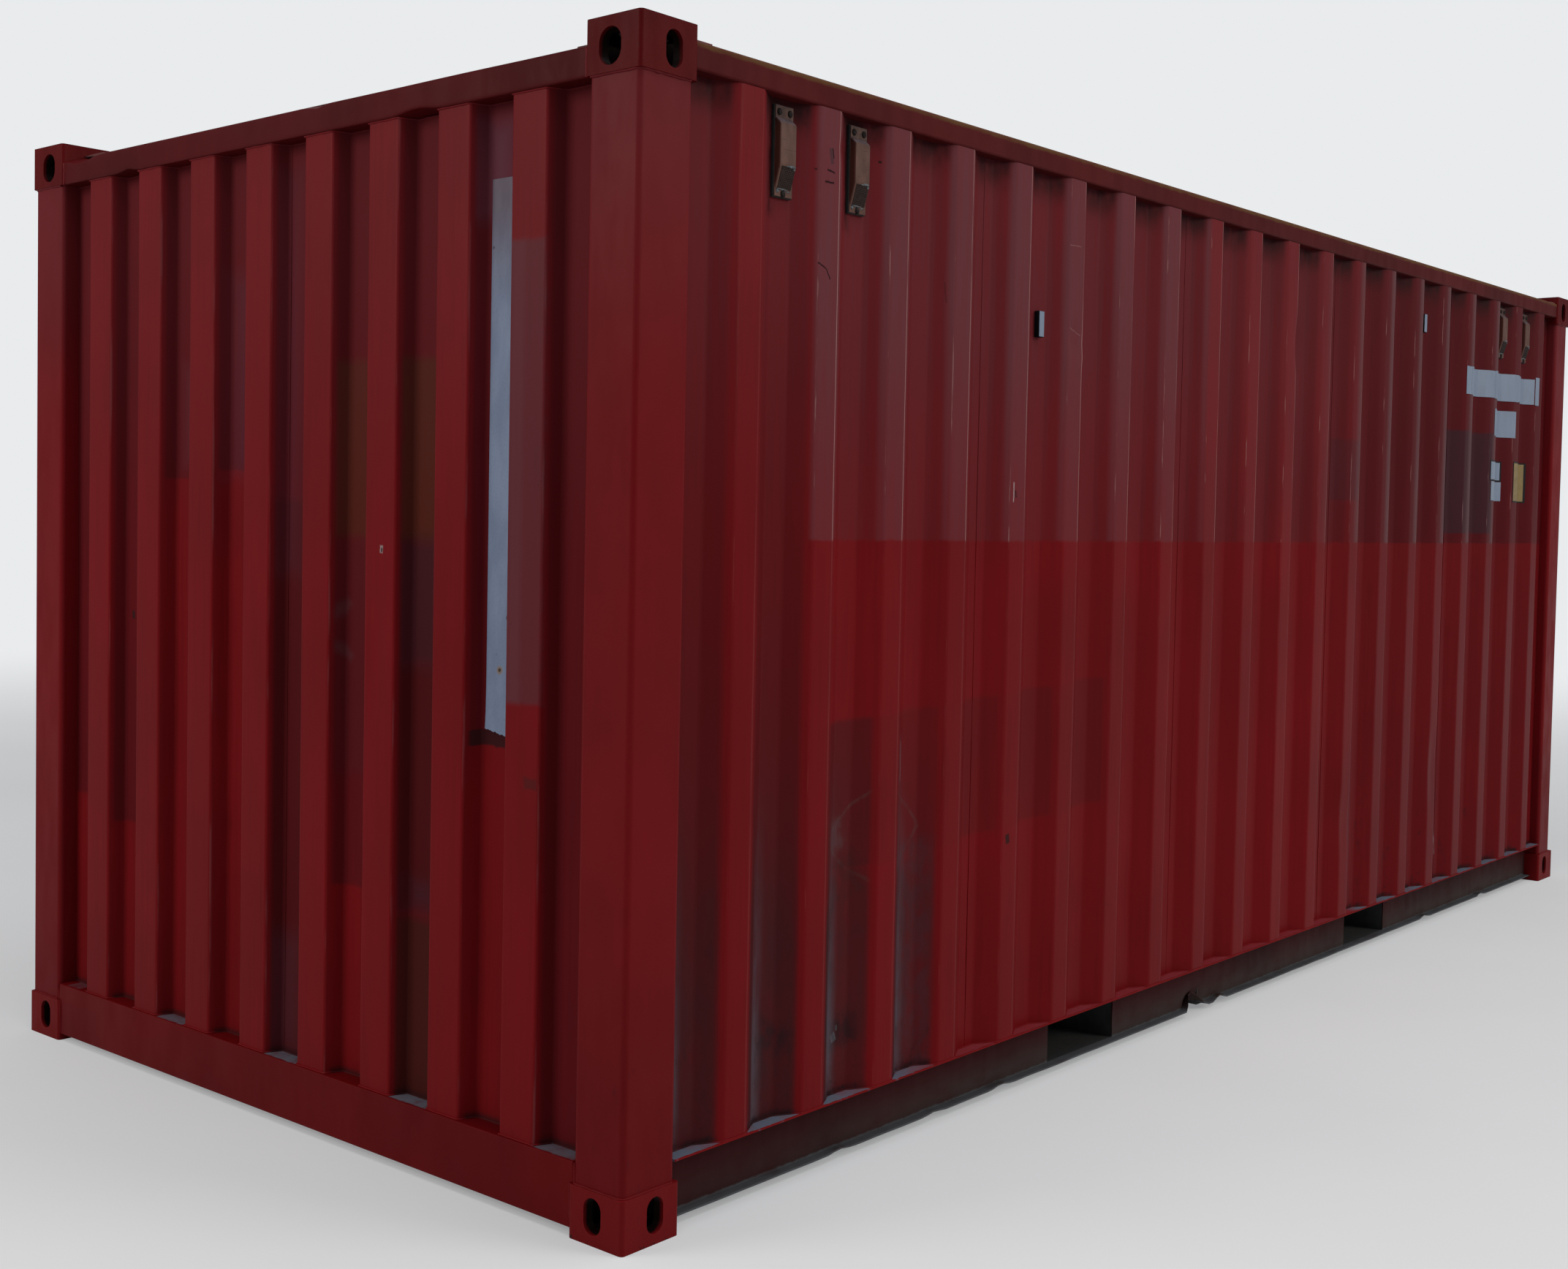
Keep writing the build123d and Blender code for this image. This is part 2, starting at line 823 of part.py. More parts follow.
# Roof sheet with hollow stamped ribs
rib_length = 2 * (steel_y - roof_edge - rib_border)
rib_taper = degrees(atan2((rib_base - rib_crown) / 2, rib_height))
with BuildPart() as roof:
    with BuildSketch(Plane.XY.offset(tube_top)):
        Rectangle(2 * roof_x, 2 * (steel_y - roof_edge))
    extrude(amount=roof_sheet)
    for level, mode in ((tube_top + roof_sheet, Mode.ADD), (tube_top, Mode.SUBTRACT)):
        with BuildSketch(Plane.XY.offset(level)):
            with GridLocations(rib_pitch, 0, roof_ribs, 1):
                Rectangle(rib_base, rib_length)
        extrude(amount=rib_height, taper=rib_taper, mode=mode)
    cut_fittings()
save(roof, "roof")

# Plates that stiffen the four corners of the roof
plate_y = steel_y - roof_edge
with BuildPart() as roof_corner_plates:
    with BuildSketch(Plane.XY.offset(tube_top + roof_sheet)):
        with GridLocations(roof_x + plate_x, 2 * plate_y - corner_plate_width, 2, 2):
            Rectangle(roof_x - plate_x, corner_plate_width)
    extrude(amount=corner_plate)
    cut_fittings()
save(roof_corner_plates, "roof_corner_plates")

# Floor board between the sills and the rails
floor_front = -steel_x + sill_flange + floor_gap
floor_rear = cam_face_x - door_sill_depth - floor_gap
with BuildPart() as floor:
    with Locations(((floor_front + floor_rear) / 2, 0, floor_base + floor_thickness / 2)):
        Box(floor_rear - floor_front, 2 * (web_y - floor_gap), floor_thickness)
save(floor, "floor")

# Cross members, left out where the fork pockets take their place
member_reach = int(fitting_x // member_pitch)
pocket_room = pocket_width / 2 + 2 * member_flange
with BuildPart() as floor_cross_members:
    for index in range(-member_reach, member_reach + 1):
        middle = index * member_pitch
        if abs(abs(middle) - pocket_spacing / 2) < pocket_room:
            continue
        with BuildSketch(Plane.XZ.offset(-web_y)):
            with BuildLine():
                member_line = Polyline(
                    (middle + member_flange, floor_base),
                    (middle, floor_base),
                    (middle, base_clearance),
                    (middle + member_flange, base_clearance),
                )
                offset(member_line, amount=member_thickness, side=Side.LEFT, kind=Kind.INTERSECTION)
            make_face()
        extrude(amount=2 * web_y)
save(floor_cross_members, "floor_cross_members")
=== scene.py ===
"""Looks of a dry freight container, 20 ft long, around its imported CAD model.

Metres. X runs along the length with the doors at +X, the left side is at -Y, and Z is up from the ground.
"""

import math

import bmesh
import bpy
from mathutils import Matrix, Vector, noise


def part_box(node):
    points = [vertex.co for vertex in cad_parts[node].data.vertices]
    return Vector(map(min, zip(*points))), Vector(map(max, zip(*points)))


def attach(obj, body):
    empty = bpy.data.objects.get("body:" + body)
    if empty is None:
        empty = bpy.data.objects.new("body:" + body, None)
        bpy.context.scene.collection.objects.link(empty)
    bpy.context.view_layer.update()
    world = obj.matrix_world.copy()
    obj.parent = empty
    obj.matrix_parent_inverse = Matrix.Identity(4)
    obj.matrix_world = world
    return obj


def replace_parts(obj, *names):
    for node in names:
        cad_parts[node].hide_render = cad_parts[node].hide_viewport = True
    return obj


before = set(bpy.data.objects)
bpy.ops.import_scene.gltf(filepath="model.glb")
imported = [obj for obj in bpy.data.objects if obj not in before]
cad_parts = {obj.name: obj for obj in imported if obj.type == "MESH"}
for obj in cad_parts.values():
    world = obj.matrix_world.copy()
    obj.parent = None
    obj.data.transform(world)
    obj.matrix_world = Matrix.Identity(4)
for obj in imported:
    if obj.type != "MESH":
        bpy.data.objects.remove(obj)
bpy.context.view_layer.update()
# The ripples of the welds read a noise that would otherwise be seeded by the clock
noise.seed_set(20)

# Planes and pitches that the solids have
STEEL_X = 3.023
STEEL_Y = 1.213
SIDE_CREST = 1.211
SIDE_DEPTH = 0.036
SIDE_PITCH = 0.28
SIDE_COUNT = 20
SIDE_CREST_WIDTH = 0.074
SIDE_SLOPE = 0.068
SIDE_REACH = 2.86
END_CREST = 3.015
END_DEPTH = 0.0456
END_PITCH = 0.25
END_COUNT = 8
END_CREST_WIDTH = 0.11
END_SLOPE = 0.018
END_REACH = 1.064
FLOOR_TOP = 0.165
TUBE_BASE = 2.5
POST_TOP = 2.473
TUBE_TOP = 2.56
WEB_Y = 1.152
RAIL_FOOT = 0.019
RAIL_PLATE = 0.0045
POCKET_MIDDLE = 1.04
POCKET_HALF = 0.185
# The hollow inside a corner fitting, as mirrored up from half the container's height
HALF_HEIGHT = 1.2955
SOCKET_MIDDLE = (2.94, 1.138, 1.2365)
SOCKET_HALF = (0.081, 0.073, 0.051)

# Where a pattern lies on the walls
ANY = 9  # a patch's half along an axis that doesn't matter
SIDE_FOLD = 0.132  # from a crest's middle to its fold, in pitches
END_FOLD = 0.22
NEAR_STRIP = (-2.415, -2.435)  # the strip beside the near post, which was never rolled over
NEAR_DIRT = (-1.72, -1.86)  # x at which road dirt sets in, at both ends of the side
FAR_DIRT = (0.74, 0.86)
LOOP_MIDDLE = (-2.108, 0, 0.784)
LOOP_HALF = (0.183, 0.127)


# Colours and nodes


def linear(code):
    """A colour written as sRGB hex, as the linear one that a shader takes."""
    parts = [int(code[place : place + 2], 16) / 255 for place in (1, 3, 5)]
    return tuple(p / 12.92 if p <= 0.04045 else ((p + 0.055) / 1.055) ** 2.4 for p in parts) + (1.0,)


def add(tree, kind, links=(), out=0, **settings):
    """Adds a node with its settings, fills sockets by name or in order, and gives one of its outputs."""
    made = tree.nodes.new("ShaderNode" + kind)
    for name, value in settings.items():
        setattr(made, name, value)
    for name, value in links.items() if isinstance(links, dict) else enumerate(links):
        if isinstance(value, bpy.types.NodeSocket):
            tree.links.new(value, made.inputs[name])
        else:
            made.inputs[name].default_value = value
    return made.outputs[out]


def off_crest(tree, along, pitch):
    """How far a place is from the middle of its crest, in pitches from -0.5 to 0.5."""
    for operation, by in (("DIVIDE", pitch), ("ADD", 10.0), ("FRACT", 0.0), ("SUBTRACT", 0.5)):
        along = add(tree, "Math", (along, by), operation=operation)
    return along


class Finish:
    """A material being made: its nodes, the place on the piece that they read, and its colour so far."""

    def __init__(self, name, tone, **sockets):
        self.made = bpy.data.materials.new(name)
        self.made.use_nodes = True
        self.tree = self.made.node_tree
        self.shader = self.tree.nodes["Principled BSDF"].inputs
        for socket, value in sockets.items():
            self.shader[socket.replace("_", " ")].default_value = value
        self.place = add(self.tree, "TexCoord", out="Object")
        self.x, self.y, self.z = add(self.tree, "SeparateXYZ", (self.place,)).node.outputs
        self.shown = linear(tone)

    def grain(self, size, stretch=(1, 1, 1), detail=3.0, rough=0.55):
        """Noise whose grains are about size metres across, drawn out by stretch."""
        scale = tuple(1 / (size * part) for part in stretch)
        drawn = add(self.tree, "Mapping", {"Vector": self.place, "Scale": scale})
        links = {"Vector": drawn, "Scale": 1.0, "Detail": detail, "Roughness": rough}
        return add(self.tree, "TexNoise", links)

    def share(self, *parts):
        """The product of some parts: numbers, values, or values with the range each is eased over.

        Such a range is given from and to, and then, where it isn't 0 to 1, what it is taken to.
        """
        result = None
        for part in parts:
            if isinstance(part, tuple):
                part = add(self.tree, "MapRange", part, interpolation_type="SMOOTHSTEP")
            both = (result, part)
            result = part if result is None else add(self.tree, "Math", both, operation="MULTIPLY")
        return result

    def lay(self, tone, *parts):
        """Lays a tone over the colour shown so far, by the product of some parts."""
        self.shown = add(self.tree, "MixRGB", (self.share(*parts), self.shown, linear(tone)))

    def patch(self, place, middle, half, turn=0.0, soft=0.005):
        """1 inside a rectangle of a wall, 0 past its soft edge."""
        if turn:
            axis = (1, 0, 0) if half[0] == ANY else (0, 1, 0)
            links = {"Vector": place, "Center": middle, "Axis": axis, "Angle": turn}
            place = add(self.tree, "VectorRotate", links, rotation_type="AXIS_ANGLE")
        away = add(self.tree, "VectorMath", (place, middle), operation="SUBTRACT")
        away = add(self.tree, "VectorMath", (away,), operation="ABSOLUTE")
        room = add(self.tree, "VectorMath", (half, away), operation="SUBTRACT")
        x, y, z = add(self.tree, "SeparateXYZ", (room,)).node.outputs
        nearest = add(self.tree, "Math", (x, y), operation="MINIMUM")
        nearest = add(self.tree, "Math", (nearest, z), operation="MINIMUM")
        return self.share((nearest, -soft, soft))

    def ragged(self, place, reach, size):
        """A place pushed about a little, so that an edge drawn there comes out uneven."""
        push = add(self.tree, "TexNoise", {"Vector": place, "Scale": 1 / size, "Detail": 3.0}, "Color")
        push = add(self.tree, "VectorMath", (push, (0.5, 0.5, 0.5)), operation="SUBTRACT")
        return add(self.tree, "VectorMath", (push, (reach,) * 3, place), operation="MULTIPLY_ADD")

    def sealed(self, gloss, relief, strength=0.6):
        """The finished material, with its roughness and the height of its skin in metres."""
        bump = add(self.tree, "Bump", {"Height": relief, "Strength": strength, "Distance": 1.0})
        for socket, value in (("Base Color", self.shown), ("Roughness", gloss), ("Normal", bump)):
            self.tree.links.new(value, self.shader[socket])
        return self.made


# Paint on plate and castings


class Paint(Finish):
    """Brush and spray paint on steel plate: uneven coats, small chips down to primer."""

    def __init__(self, name, colour, worn, gloss=(0.42, 0.55), blotch=0.08):
        super().__init__(name, colour, Specular_IOR_Level=0.05)
        self.broad = self.grain(0.6)
        coat = self.grain(0.05, (1, 1, 3), 4)
        self.lay(worn, (self.broad, 0.35, 0.7))
        self.lay("#2a0708", (coat, 0.35, 0.7, 0.0, blotch))
        self.lay("#2b1a19", (self.grain(0.007, detail=2), 0.745, 0.76), 0.6)
        self.gloss = self.share((coat, 0.3, 0.7, *gloss))

    def brushed(self):
        """The finished material, with the orange peel of its coats."""
        peel = self.share(self.grain(0.004, detail=2), 0.00018)
        relief = add(self.tree, "Math", (self.share(self.broad, 0.003), peel), operation="ADD")
        return self.sealed(self.gloss, relief)


def post_enamel():
    """Enamel on the posts, chalked towards the top, with grime along the foot."""
    post = Paint("brushed_enamel_on_plate", "#680f13", "#600e12")
    post.lay("#5a2529", (post.z, 1.7, 2.5, 0.0, 0.5))
    post.lay("#4a080b", (post.z, 0.8, 0.15, 0.0, 0.4))
    post.lay("#2a1416", (post.grain(0.03, (1, 1, 3), 5, 0.7), 0.6, 0.75, 0.0, 0.4), (post.z, 0.7, 0.2))
    return post.brushed()


def fitting_enamel():
    """Enamel on cast steel: rough skin, chipped rims, and near black inside the slots, painted shade with
    grime.
    """
    steel = Paint("enamel_on_cast_steel", "#53090b", "#48080a", (0.46, 0.6), 0.14)
    tree = steel.tree
    mirrored = add(tree, "VectorMath", (steel.place, (0, 0, HALF_HEIGHT)), operation="SUBTRACT")
    mirrored = add(tree, "VectorMath", (mirrored,), operation="ABSOLUTE")
    uneven = steel.ragged(mirrored, 0.004, 0.01)
    inside = steel.patch(uneven, SOCKET_MIDDLE, SOCKET_HALF, soft=0.004)
    outside = add(tree, "Math", (1.0, inside), operation="SUBTRACT")
    # Inside the sockets the paint is near black: painted shade, with grime
    steel.lay("#0f0a0a", inside, 0.94)
    steel.lay("#6c1013", (steel.z, 0.4, 0.2), outside, 0.6)
    foot = add(tree, "Math", (steel.share((steel.z, 0.014, 0.004)), 0.12), operation="MAXIMUM")
    steel.lay("#1d1414", (steel.grain(0.012, detail=4), 0.62, 0.66), foot)
    return steel.sealed(steel.gloss, steel.share(steel.grain(0.006, detail=4), 0.0009), 0.7)


def rail_paint():
    """Old paint on the channel rails: dust along the lip and on the ledge between the crests."""
    rail = Paint("old_paint_on_bottom_rails", "#341012", "#2a0e10", (0.6, 0.72))
    tree = rail.tree
    uneven = rail.ragged(rail.place, 0.008, 0.02)
    x, y, z = add(tree, "SeparateXYZ", (uneven,)).node.outputs
    patchy = rail.share((rail.grain(0.05, (2, 1, 1), 5), 0.25, 0.6, 0.55, 1.05))
    rail.lay("#39312f", (z, 0.13, 0.025, 0.0, 0.9), patchy, (x, -2.9, -1.2, 0.35, 1.0))
    rail.lay("#4c4f53", (z, 0.031, 0.024), patchy, 0.9)
    depth = add(tree, "Math", (y,), operation="ABSOLUTE")
    ledge = rail.share((z, FLOOR_TOP - 0.009, FLOOR_TOP - 0.005))
    edge = rail.share((depth, STEEL_Y - 0.008, STEEL_Y - 0.003))
    painted = add(tree, "MixRGB", (edge, linear("#78181b"), linear("#6a0d0f")))
    rail.shown = add(tree, "MixRGB", (ledge, rail.shown, painted))
    away = add(tree, "Math", (off_crest(tree, x, SIDE_PITCH),), operation="ABSOLUTE")
    ends = (rail.share((x, -1.82, -2.0)), rail.share((x, 0.78, 0.9)))
    dusty = add(tree, "Math", ends, operation="MAXIMUM")
    outer = (depth, STEEL_Y - 0.0004, STEEL_Y - 0.0035)
    rail.lay("#585e6c", ledge, (away, 0.15, 0.21), (dusty, 0.0, 1.0, 0.12, 0.97), patchy, outer)
    return rail.brushed()


def top_rail_enamel():
    """Old enamel on the top rails, bleached brown with grime along the upper edge."""
    rail = Paint("old_enamel_on_top_rails", "#4c1314", "#411012", (0.5, 0.62), 0.15)
    z = add(rail.tree, "SeparateXYZ", (rail.ragged(rail.place, 0.01, 0.04),), "Z")
    rail.lay("#54371f", (z, 2.545, 2.553), (rail.grain(0.05, (3, 1, 1)), 0.3, 0.6, 0.4, 1.0))
    return rail.brushed()


def sill_enamel():
    """Old enamel on the sill, with grey dust lying in every other hollow of the end wall."""
    sill = Paint("old_enamel_on_sills", "#5c0709", "#52060a")
    dust = sill.share((sill.grain(0.03, detail=5), 0.25, 0.6, 0.4, 1.0))
    uneven = sill.ragged(sill.place, 0.012, 0.03)
    for y, reach, strength in (
        (1.0, 0.03, 0.3),
        (0.5, 0.06, 0.8),
        (0.0, 0.066, 0.95),
        (-0.5, 0.066, 0.95),
        (-0.995, 0.06, 0.8),
    ):
        middle = (0.025 - END_CREST, y, FLOOR_TOP + 0.01)
        lying = sill.patch(uneven, middle, (0.026, reach, 0.017), soft=0.004)
        sill.lay("#5a5c66", lying, dust, strength)
    return sill.brushed()


# Paint on the pressed sheets


class Sheet(Finish):
    """Sprayed enamel over old coats on pressed sheet, with fine runs and specks."""

    def __init__(self, name):
        super().__init__(name, "#620d11", Specular_IOR_Level=0.04)
        self.streak = self.grain(0.012, (1, 1, 30), 5)
        self.uneven = self.ragged(self.place, 0.012, 0.03)
        self.lay("#6a0e12", (self.grain(0.5, detail=4), 0.3, 0.7))
        self.lay("#4a090b", (self.streak, 0.4, 0.75, 0.0, 0.25))

    def sprayed(self, matt):
        """The finished material, duller by a value, with small chips and the skin's relief."""
        self.lay("#231415", (self.grain(0.006, detail=2), 0.745, 0.76), 0.55)
        peel = self.share(self.grain(0.004, detail=2), 0.00018)
        relief = add(self.tree, "Math", (self.share(self.streak, 0.0003), peel), operation="ADD")
        return self.sealed(self.share((matt, 0.0, 1.0, 0.42, 0.66)), relief, 0.5)


# Scratches and small marks of the photographed side: x, z, half along, half up, turn, tone, strength
SIDE_MARKS = (
    (-2.014, 0.955, 0.003, 0.05, 0.0, "#8a7a7c", 0.45),
    (-1.549, 0.708, 0.009, 0.013, 0.2, "#220f10", 0.85),
    (-2.257, 0.304, 0.01, 0.011, 0.4, "#83858f", 0.8),
    (-2.244, 0.326, 0.004, 0.006, 0.0, "#83858f", 0.6),
    (0.782, 2.129, 0.012, 0.008, 0.3, "#8a7a78", 0.7),
    (-1.549, 1.63, 0.004, 0.01, 0.2, "#2a1516", 0.8),
    (-1.559, 1.635, 0.0018, 0.026, 0.0, "#a09292", 0.8),
    (-1.881, 2.13, 0.002, 0.026, 0.1, "#241214", 0.35),
    (-1.751, 2.288, 0.007, 0.005, 0.0, "#2a1516", 0.85),
    (-1.738, 2.262, 0.004, 0.004, 0.0, "#2a1516", 0.85),
    (-2.404, 2.138, 0.015, 0.0018, -0.35, "#180a0c", 0.9),
    (-2.381, 2.121, 0.014, 0.0018, -0.95, "#180a0c", 0.9),
    (-2.377, 2.357, 0.014, 0.0022, -0.13, "#140809", 0.9),
    (-2.382, 2.331, 0.017, 0.0024, 0.03, "#140809", 0.9),
    (-2.37, 2.399, 0.0022, 0.012, 0.2, "#1c0e10", 0.9),
    (-2.376, 2.392, 0.006, 0.018, 0.2, "#34272c", 0.6),
    (-2.428, 2.356, 0.003, 0.002, 0.0, "#220f11", 0.8),
    (-2.167, 2.412, 0.004, 0.003, 0.0, "#1c0e10", 0.9),
    (1.68, 0.31, 0.002, 0.05, 0.15, "#8a848c", 0.6),
    (1.93, 0.24, 0.022, 0.002, 0.5, "#16100f", 0.9),
    (-1.27, 2.319, 0.028, 0.0012, 0.02, "#8a6463", 0.4),
    (-1.262, 2.085, 0.03, 0.0015, -0.3, "#8a6467", 0.3),
    (0.21, 2.2, 0.03, 0.002, -0.7, "#9a7070", 0.4),
)
# Clouded stains in its hollows, with the same values; the last four, beside and above the vents, are soot
# with painted shade
SIDE_STAINS = (
    (-2.238, 0.316, 0.055, 0.04, 0.15, "#1d1315", 0.7),
    (-2.29, 0.45, 0.025, 0.17, 0.02, "#262022", 0.6),
    (-2.5, 0.355, 0.05, 0.03, -0.5, "#1d1417", 0.65),
    (-2.53, 0.3, 0.02, 0.06, 0.1, "#241a1d", 0.5),
    (-2.262, 0.795, 0.03, 0.035, 0.2, "#4f4245", 0.4),
    (-2.24, 0.68, 0.06, 0.05, 0.4, "#2c1a1a", 0.5),
    (-1.97, 0.45, 0.09, 0.3, 0.0, "#38252b", 0.45),
    (-2.02, 0.85, 0.012, 0.16, 0.0, "#4a3a40", 0.4),
    # Soot beside and above the vents, with painted shade beside the hoods and under the top rail
    (-2.562, 2.36, 0.016, 0.12, 0.0, "#1a0c0d", 0.7),
    (-2.282, 2.36, 0.016, 0.12, 0.0, "#1a0c0d", 0.7),
    (-2.235, 2.475, 0.06, 0.02, 0.0, "#1a0c0d", 0.7),
    (-2.515, 2.475, 0.06, 0.02, 0.0, "#1a0c0d", 0.7),
)


class SideWall(Sheet):
    """The long walls: rolled over up to a level, chalked above it, with older patches between the crests."""

    def __init__(self, name):
        super().__init__(name)
        self.depth = add(self.tree, "Math", (self.y,), operation="ABSOLUTE")
        self.across = off_crest(self.tree, self.x, SIDE_PITCH)
        self.crest = self.share((self.depth, SIDE_CREST - 0.017, SIDE_CREST - 0.005))
        self.low = add(self.tree, "Math", (1.0, self.crest), operation="SUBTRACT")
        self.left = self.share((self.y, 0.1, -0.1))
        self.near = self.share((self.x, *NEAR_STRIP), self.left)
        away = add(self.tree, "Math", (1.0, self.near), operation="SUBTRACT")
        self.above = self.share(self.patch(self.uneven, (0, 0, 2.505), (ANY, ANY, 1.0)), away)
        dirty = (self.share((self.x, *NEAR_DIRT)), self.share((self.x, *FAR_DIRT)))
        self.ends = add(self.tree, "Math", dirty, operation="MAXIMUM")

    def chalk_and_sheen(self):
        """Chalked paint above the level, more so on the crests where it is partly a painted sheen, and down
        to the foot at the near end.
        """
        height = self.share((self.z, 1.35, 2.35))
        hollow = self.share((self.depth, SIDE_CREST - 0.023, SIDE_CREST - 0.033))
        fresh = [
            self.patch(self.place, (x, 0, 2), (half, ANY, 1.5), soft=0.02)
            for x, half in ((0.14, 0.6), (1.82, 0.08))
        ]
        fresh = add(self.tree, "Math", fresh, operation="MAXIMUM")
        higher, fresher = (height, 0.0, 1.0, 0.55, 1.0), (fresh, 0.0, 1.0, 1.0, 0.35)
        # Paler on the crests than in the hollows: real chalking, and partly a painted sheen
        crest = self.share(self.crest, higher, fresher, (self.x, 0.3, 1.1, 1.0, 0.45))
        deeper, higher = (hollow, 0.0, 1.0, 0.26, 0.4), (height, 0.0, 1.0, 0.6, 1.25)
        low = self.share(self.low, deeper, higher, (self.x, 0.3, 1.1, 1.0, 0.3))
        both = add(self.tree, "Math", (crest, low), operation="ADD")
        near = self.share(self.near, height, (self.crest, 0.0, 1.0, 0.42, 0.2))
        both = add(self.tree, "Math", (self.share(self.above, both), near), operation="ADD")
        self.faded_and_sheen = self.share(both, (self.streak, 0.25, 0.75, 0.8, 1.1))
        self.lay("#5e3035", self.faded_and_sheen)

    def old_coats(self):
        """Old paint that was never rolled over: at the near end, and in a band between the crests."""
        links = {"Vector": self.uneven, "Center": (-2.0, 0, 0.9), "Axis": (0, 1, 0), "Angle": 0.035}
        slant = add(self.tree, "VectorRotate", links, rotation_type="AXIS_ANGLE")
        strip = self.patch(slant, (-1.68, 0, 0.9), (0.665, ANY, 0.18), soft=0.008)
        strip = self.share(strip, self.left, (self.low, 0.0, 1.0, 0.25, 1.0), (self.x, -2.0, -2.08, 0.5, 1.0))
        foot = self.share((self.x, -1.72, -2.05), (self.z, 0.8, 0.6), self.low, self.left)
        either = add(self.tree, "Math", (strip, foot), operation="MAXIMUM")
        self.lay("#3f1417", either, 0.6)
        self.lay("#451013", self.near, self.low, (self.z, 2.3, 0.5, 0.3, 0.85))

    def darker_tones(self):
        """Hollows darker above the level, a darker far half, and patches painted over in a greyer tone."""
        self.lay("#2e0c10", self.above, self.low, (self.x, -2.2, 0.8, 0.12, 0.3))
        self.lay("#400d12", (self.above, 0.0, 1.0, 0.3, 0.7), (self.x, 0.2, 1.2))
        grey = self.patch(self.uneven, (1.841, 0, 1.75), (0.273, ANY, 0.205), soft=0.006)
        pale = self.patch(self.uneven, (0.651, 0, 1.762), (0.091, ANY, 0.107), soft=0.006)
        both = add(self.tree, "Math", (self.share(grey, 0.66), self.share(pale, 0.3)), operation="ADD")
        self.lay("#2b1f26", self.left, both)

    def fold_wear_and_highlights(self):
        """The folds of each crest, pale with rubbed wear and painted highlight, and far crests paler towards
        one fold as a painted sheen.
        """
        rubbed = []
        # The line at the first fold is partly a painted highlight and partly rubbed wear; the one at the
        # other fold is rubbed wear
        for fold, width, size, length, spots, above in (
            (SIDE_FOLD, (0.009, 0.003), 0.02, 14, (0.3, 0.5), (0.05, 0.7)),
            (-SIDE_FOLD, (0.01, 0.002), 0.015, 8, (0.55, 0.65), (0.04, 0.4)),
        ):
            off = add(self.tree, "Math", (self.across, fold), operation="SUBTRACT")
            off = add(self.tree, "Math", (off,), operation="ABSOLUTE")
            worn = (self.grain(size, (1, 1, length)), *spots)
            rubbed.append(self.share((off, *width), worn, (self.above, 0.0, 1.0, *above)))
        self.lay("#96736f", add(self.tree, "Math", rubbed, operation="ADD"))
        # Far crests paler towards the first fold above the level: a painted sheen
        far, towards_fold = ((self.x, 0.2, 1.0), (self.x, 2.42, 2.3)), (self.across, -0.05, 0.09)
        self.lay("#624a4d", self.crest, self.above, *far, towards_fold, 0.5)

    def painted_rail_shadow(self):
        """Painted shadow of the top rail, darkest right under it."""
        clouds = (self.grain(0.04, (1, 1, 2)), 0.3, 0.6, 0.5, 1.0)
        # Painted shadow in the hollows under the top rail, made uneven by clouds
        self.lay("#1e0c0e", (self.z, TUBE_BASE - 0.1, TUBE_BASE - 0.005), self.low, clouds, 0.8)

    def scuffed_loop(self):
        """A scuffed loop left across two hollows: a rounded ring, drawn by its distance from its line."""
        uneven = self.ragged(self.place, 0.02, 0.09)
        off = add(self.tree, "VectorMath", (uneven, LOOP_MIDDLE), operation="SUBTRACT")
        scale = (1 / LOOP_HALF[0], 0, 1 / LOOP_HALF[1])
        off = add(self.tree, "VectorMath", (off, scale), operation="MULTIPLY")
        along, _, up = add(self.tree, "SeparateXYZ", (off,)).node.outputs
        raised = []
        for way in (along, up):
            way = add(self.tree, "Math", (way,), operation="ABSOLUTE")
            raised.append(add(self.tree, "Math", (way, 1.3), operation="POWER"))
        away = add(self.tree, "Math", raised, operation="ADD")
        away = add(self.tree, "Math", (away, 1.0), operation="SUBTRACT")
        away = add(self.tree, "Math", (away,), operation="ABSOLUTE")
        smear = (self.grain(0.02, detail=5), 0.35, 0.6, 0.25, 1.0)
        self.lay("#513c3a", (away, 0.08, 0.015), smear, self.low, self.left, 0.3)

    def marks(self):
        """Scratches, small marks and clouded stains."""
        fine = self.ragged(self.place, 0.005, 0.011)
        for x, z, half_x, half_z, turn, tone, strength in SIDE_MARKS:
            mark = self.patch(fine, (x, 0, z), (half_x, ANY, half_z), turn, 0.0012)
            self.lay(tone, mark, self.left, strength)
        veil = (self.grain(0.09, (1, 1, 3), 6, 0.65), 0.3, 0.65, 0.3, 1.0)
        self.lay("#2b1c1e", veil, (self.z, 1.1, 0.5), (self.x, *NEAR_DIRT), self.low, self.left, 0.45)
        clouds = self.share((self.grain(0.03, (1, 1, 1.6), 5, 0.65), 0.35, 0.6, 0.2, 1.0))
        for x, z, half_x, half_z, turn, tone, strength in SIDE_STAINS:
            stain = self.patch(self.uneven, (x, 0, z), (half_x, ANY, half_z), turn, 0.02)
            self.lay(tone, stain, clouds, self.left, self.low, strength)

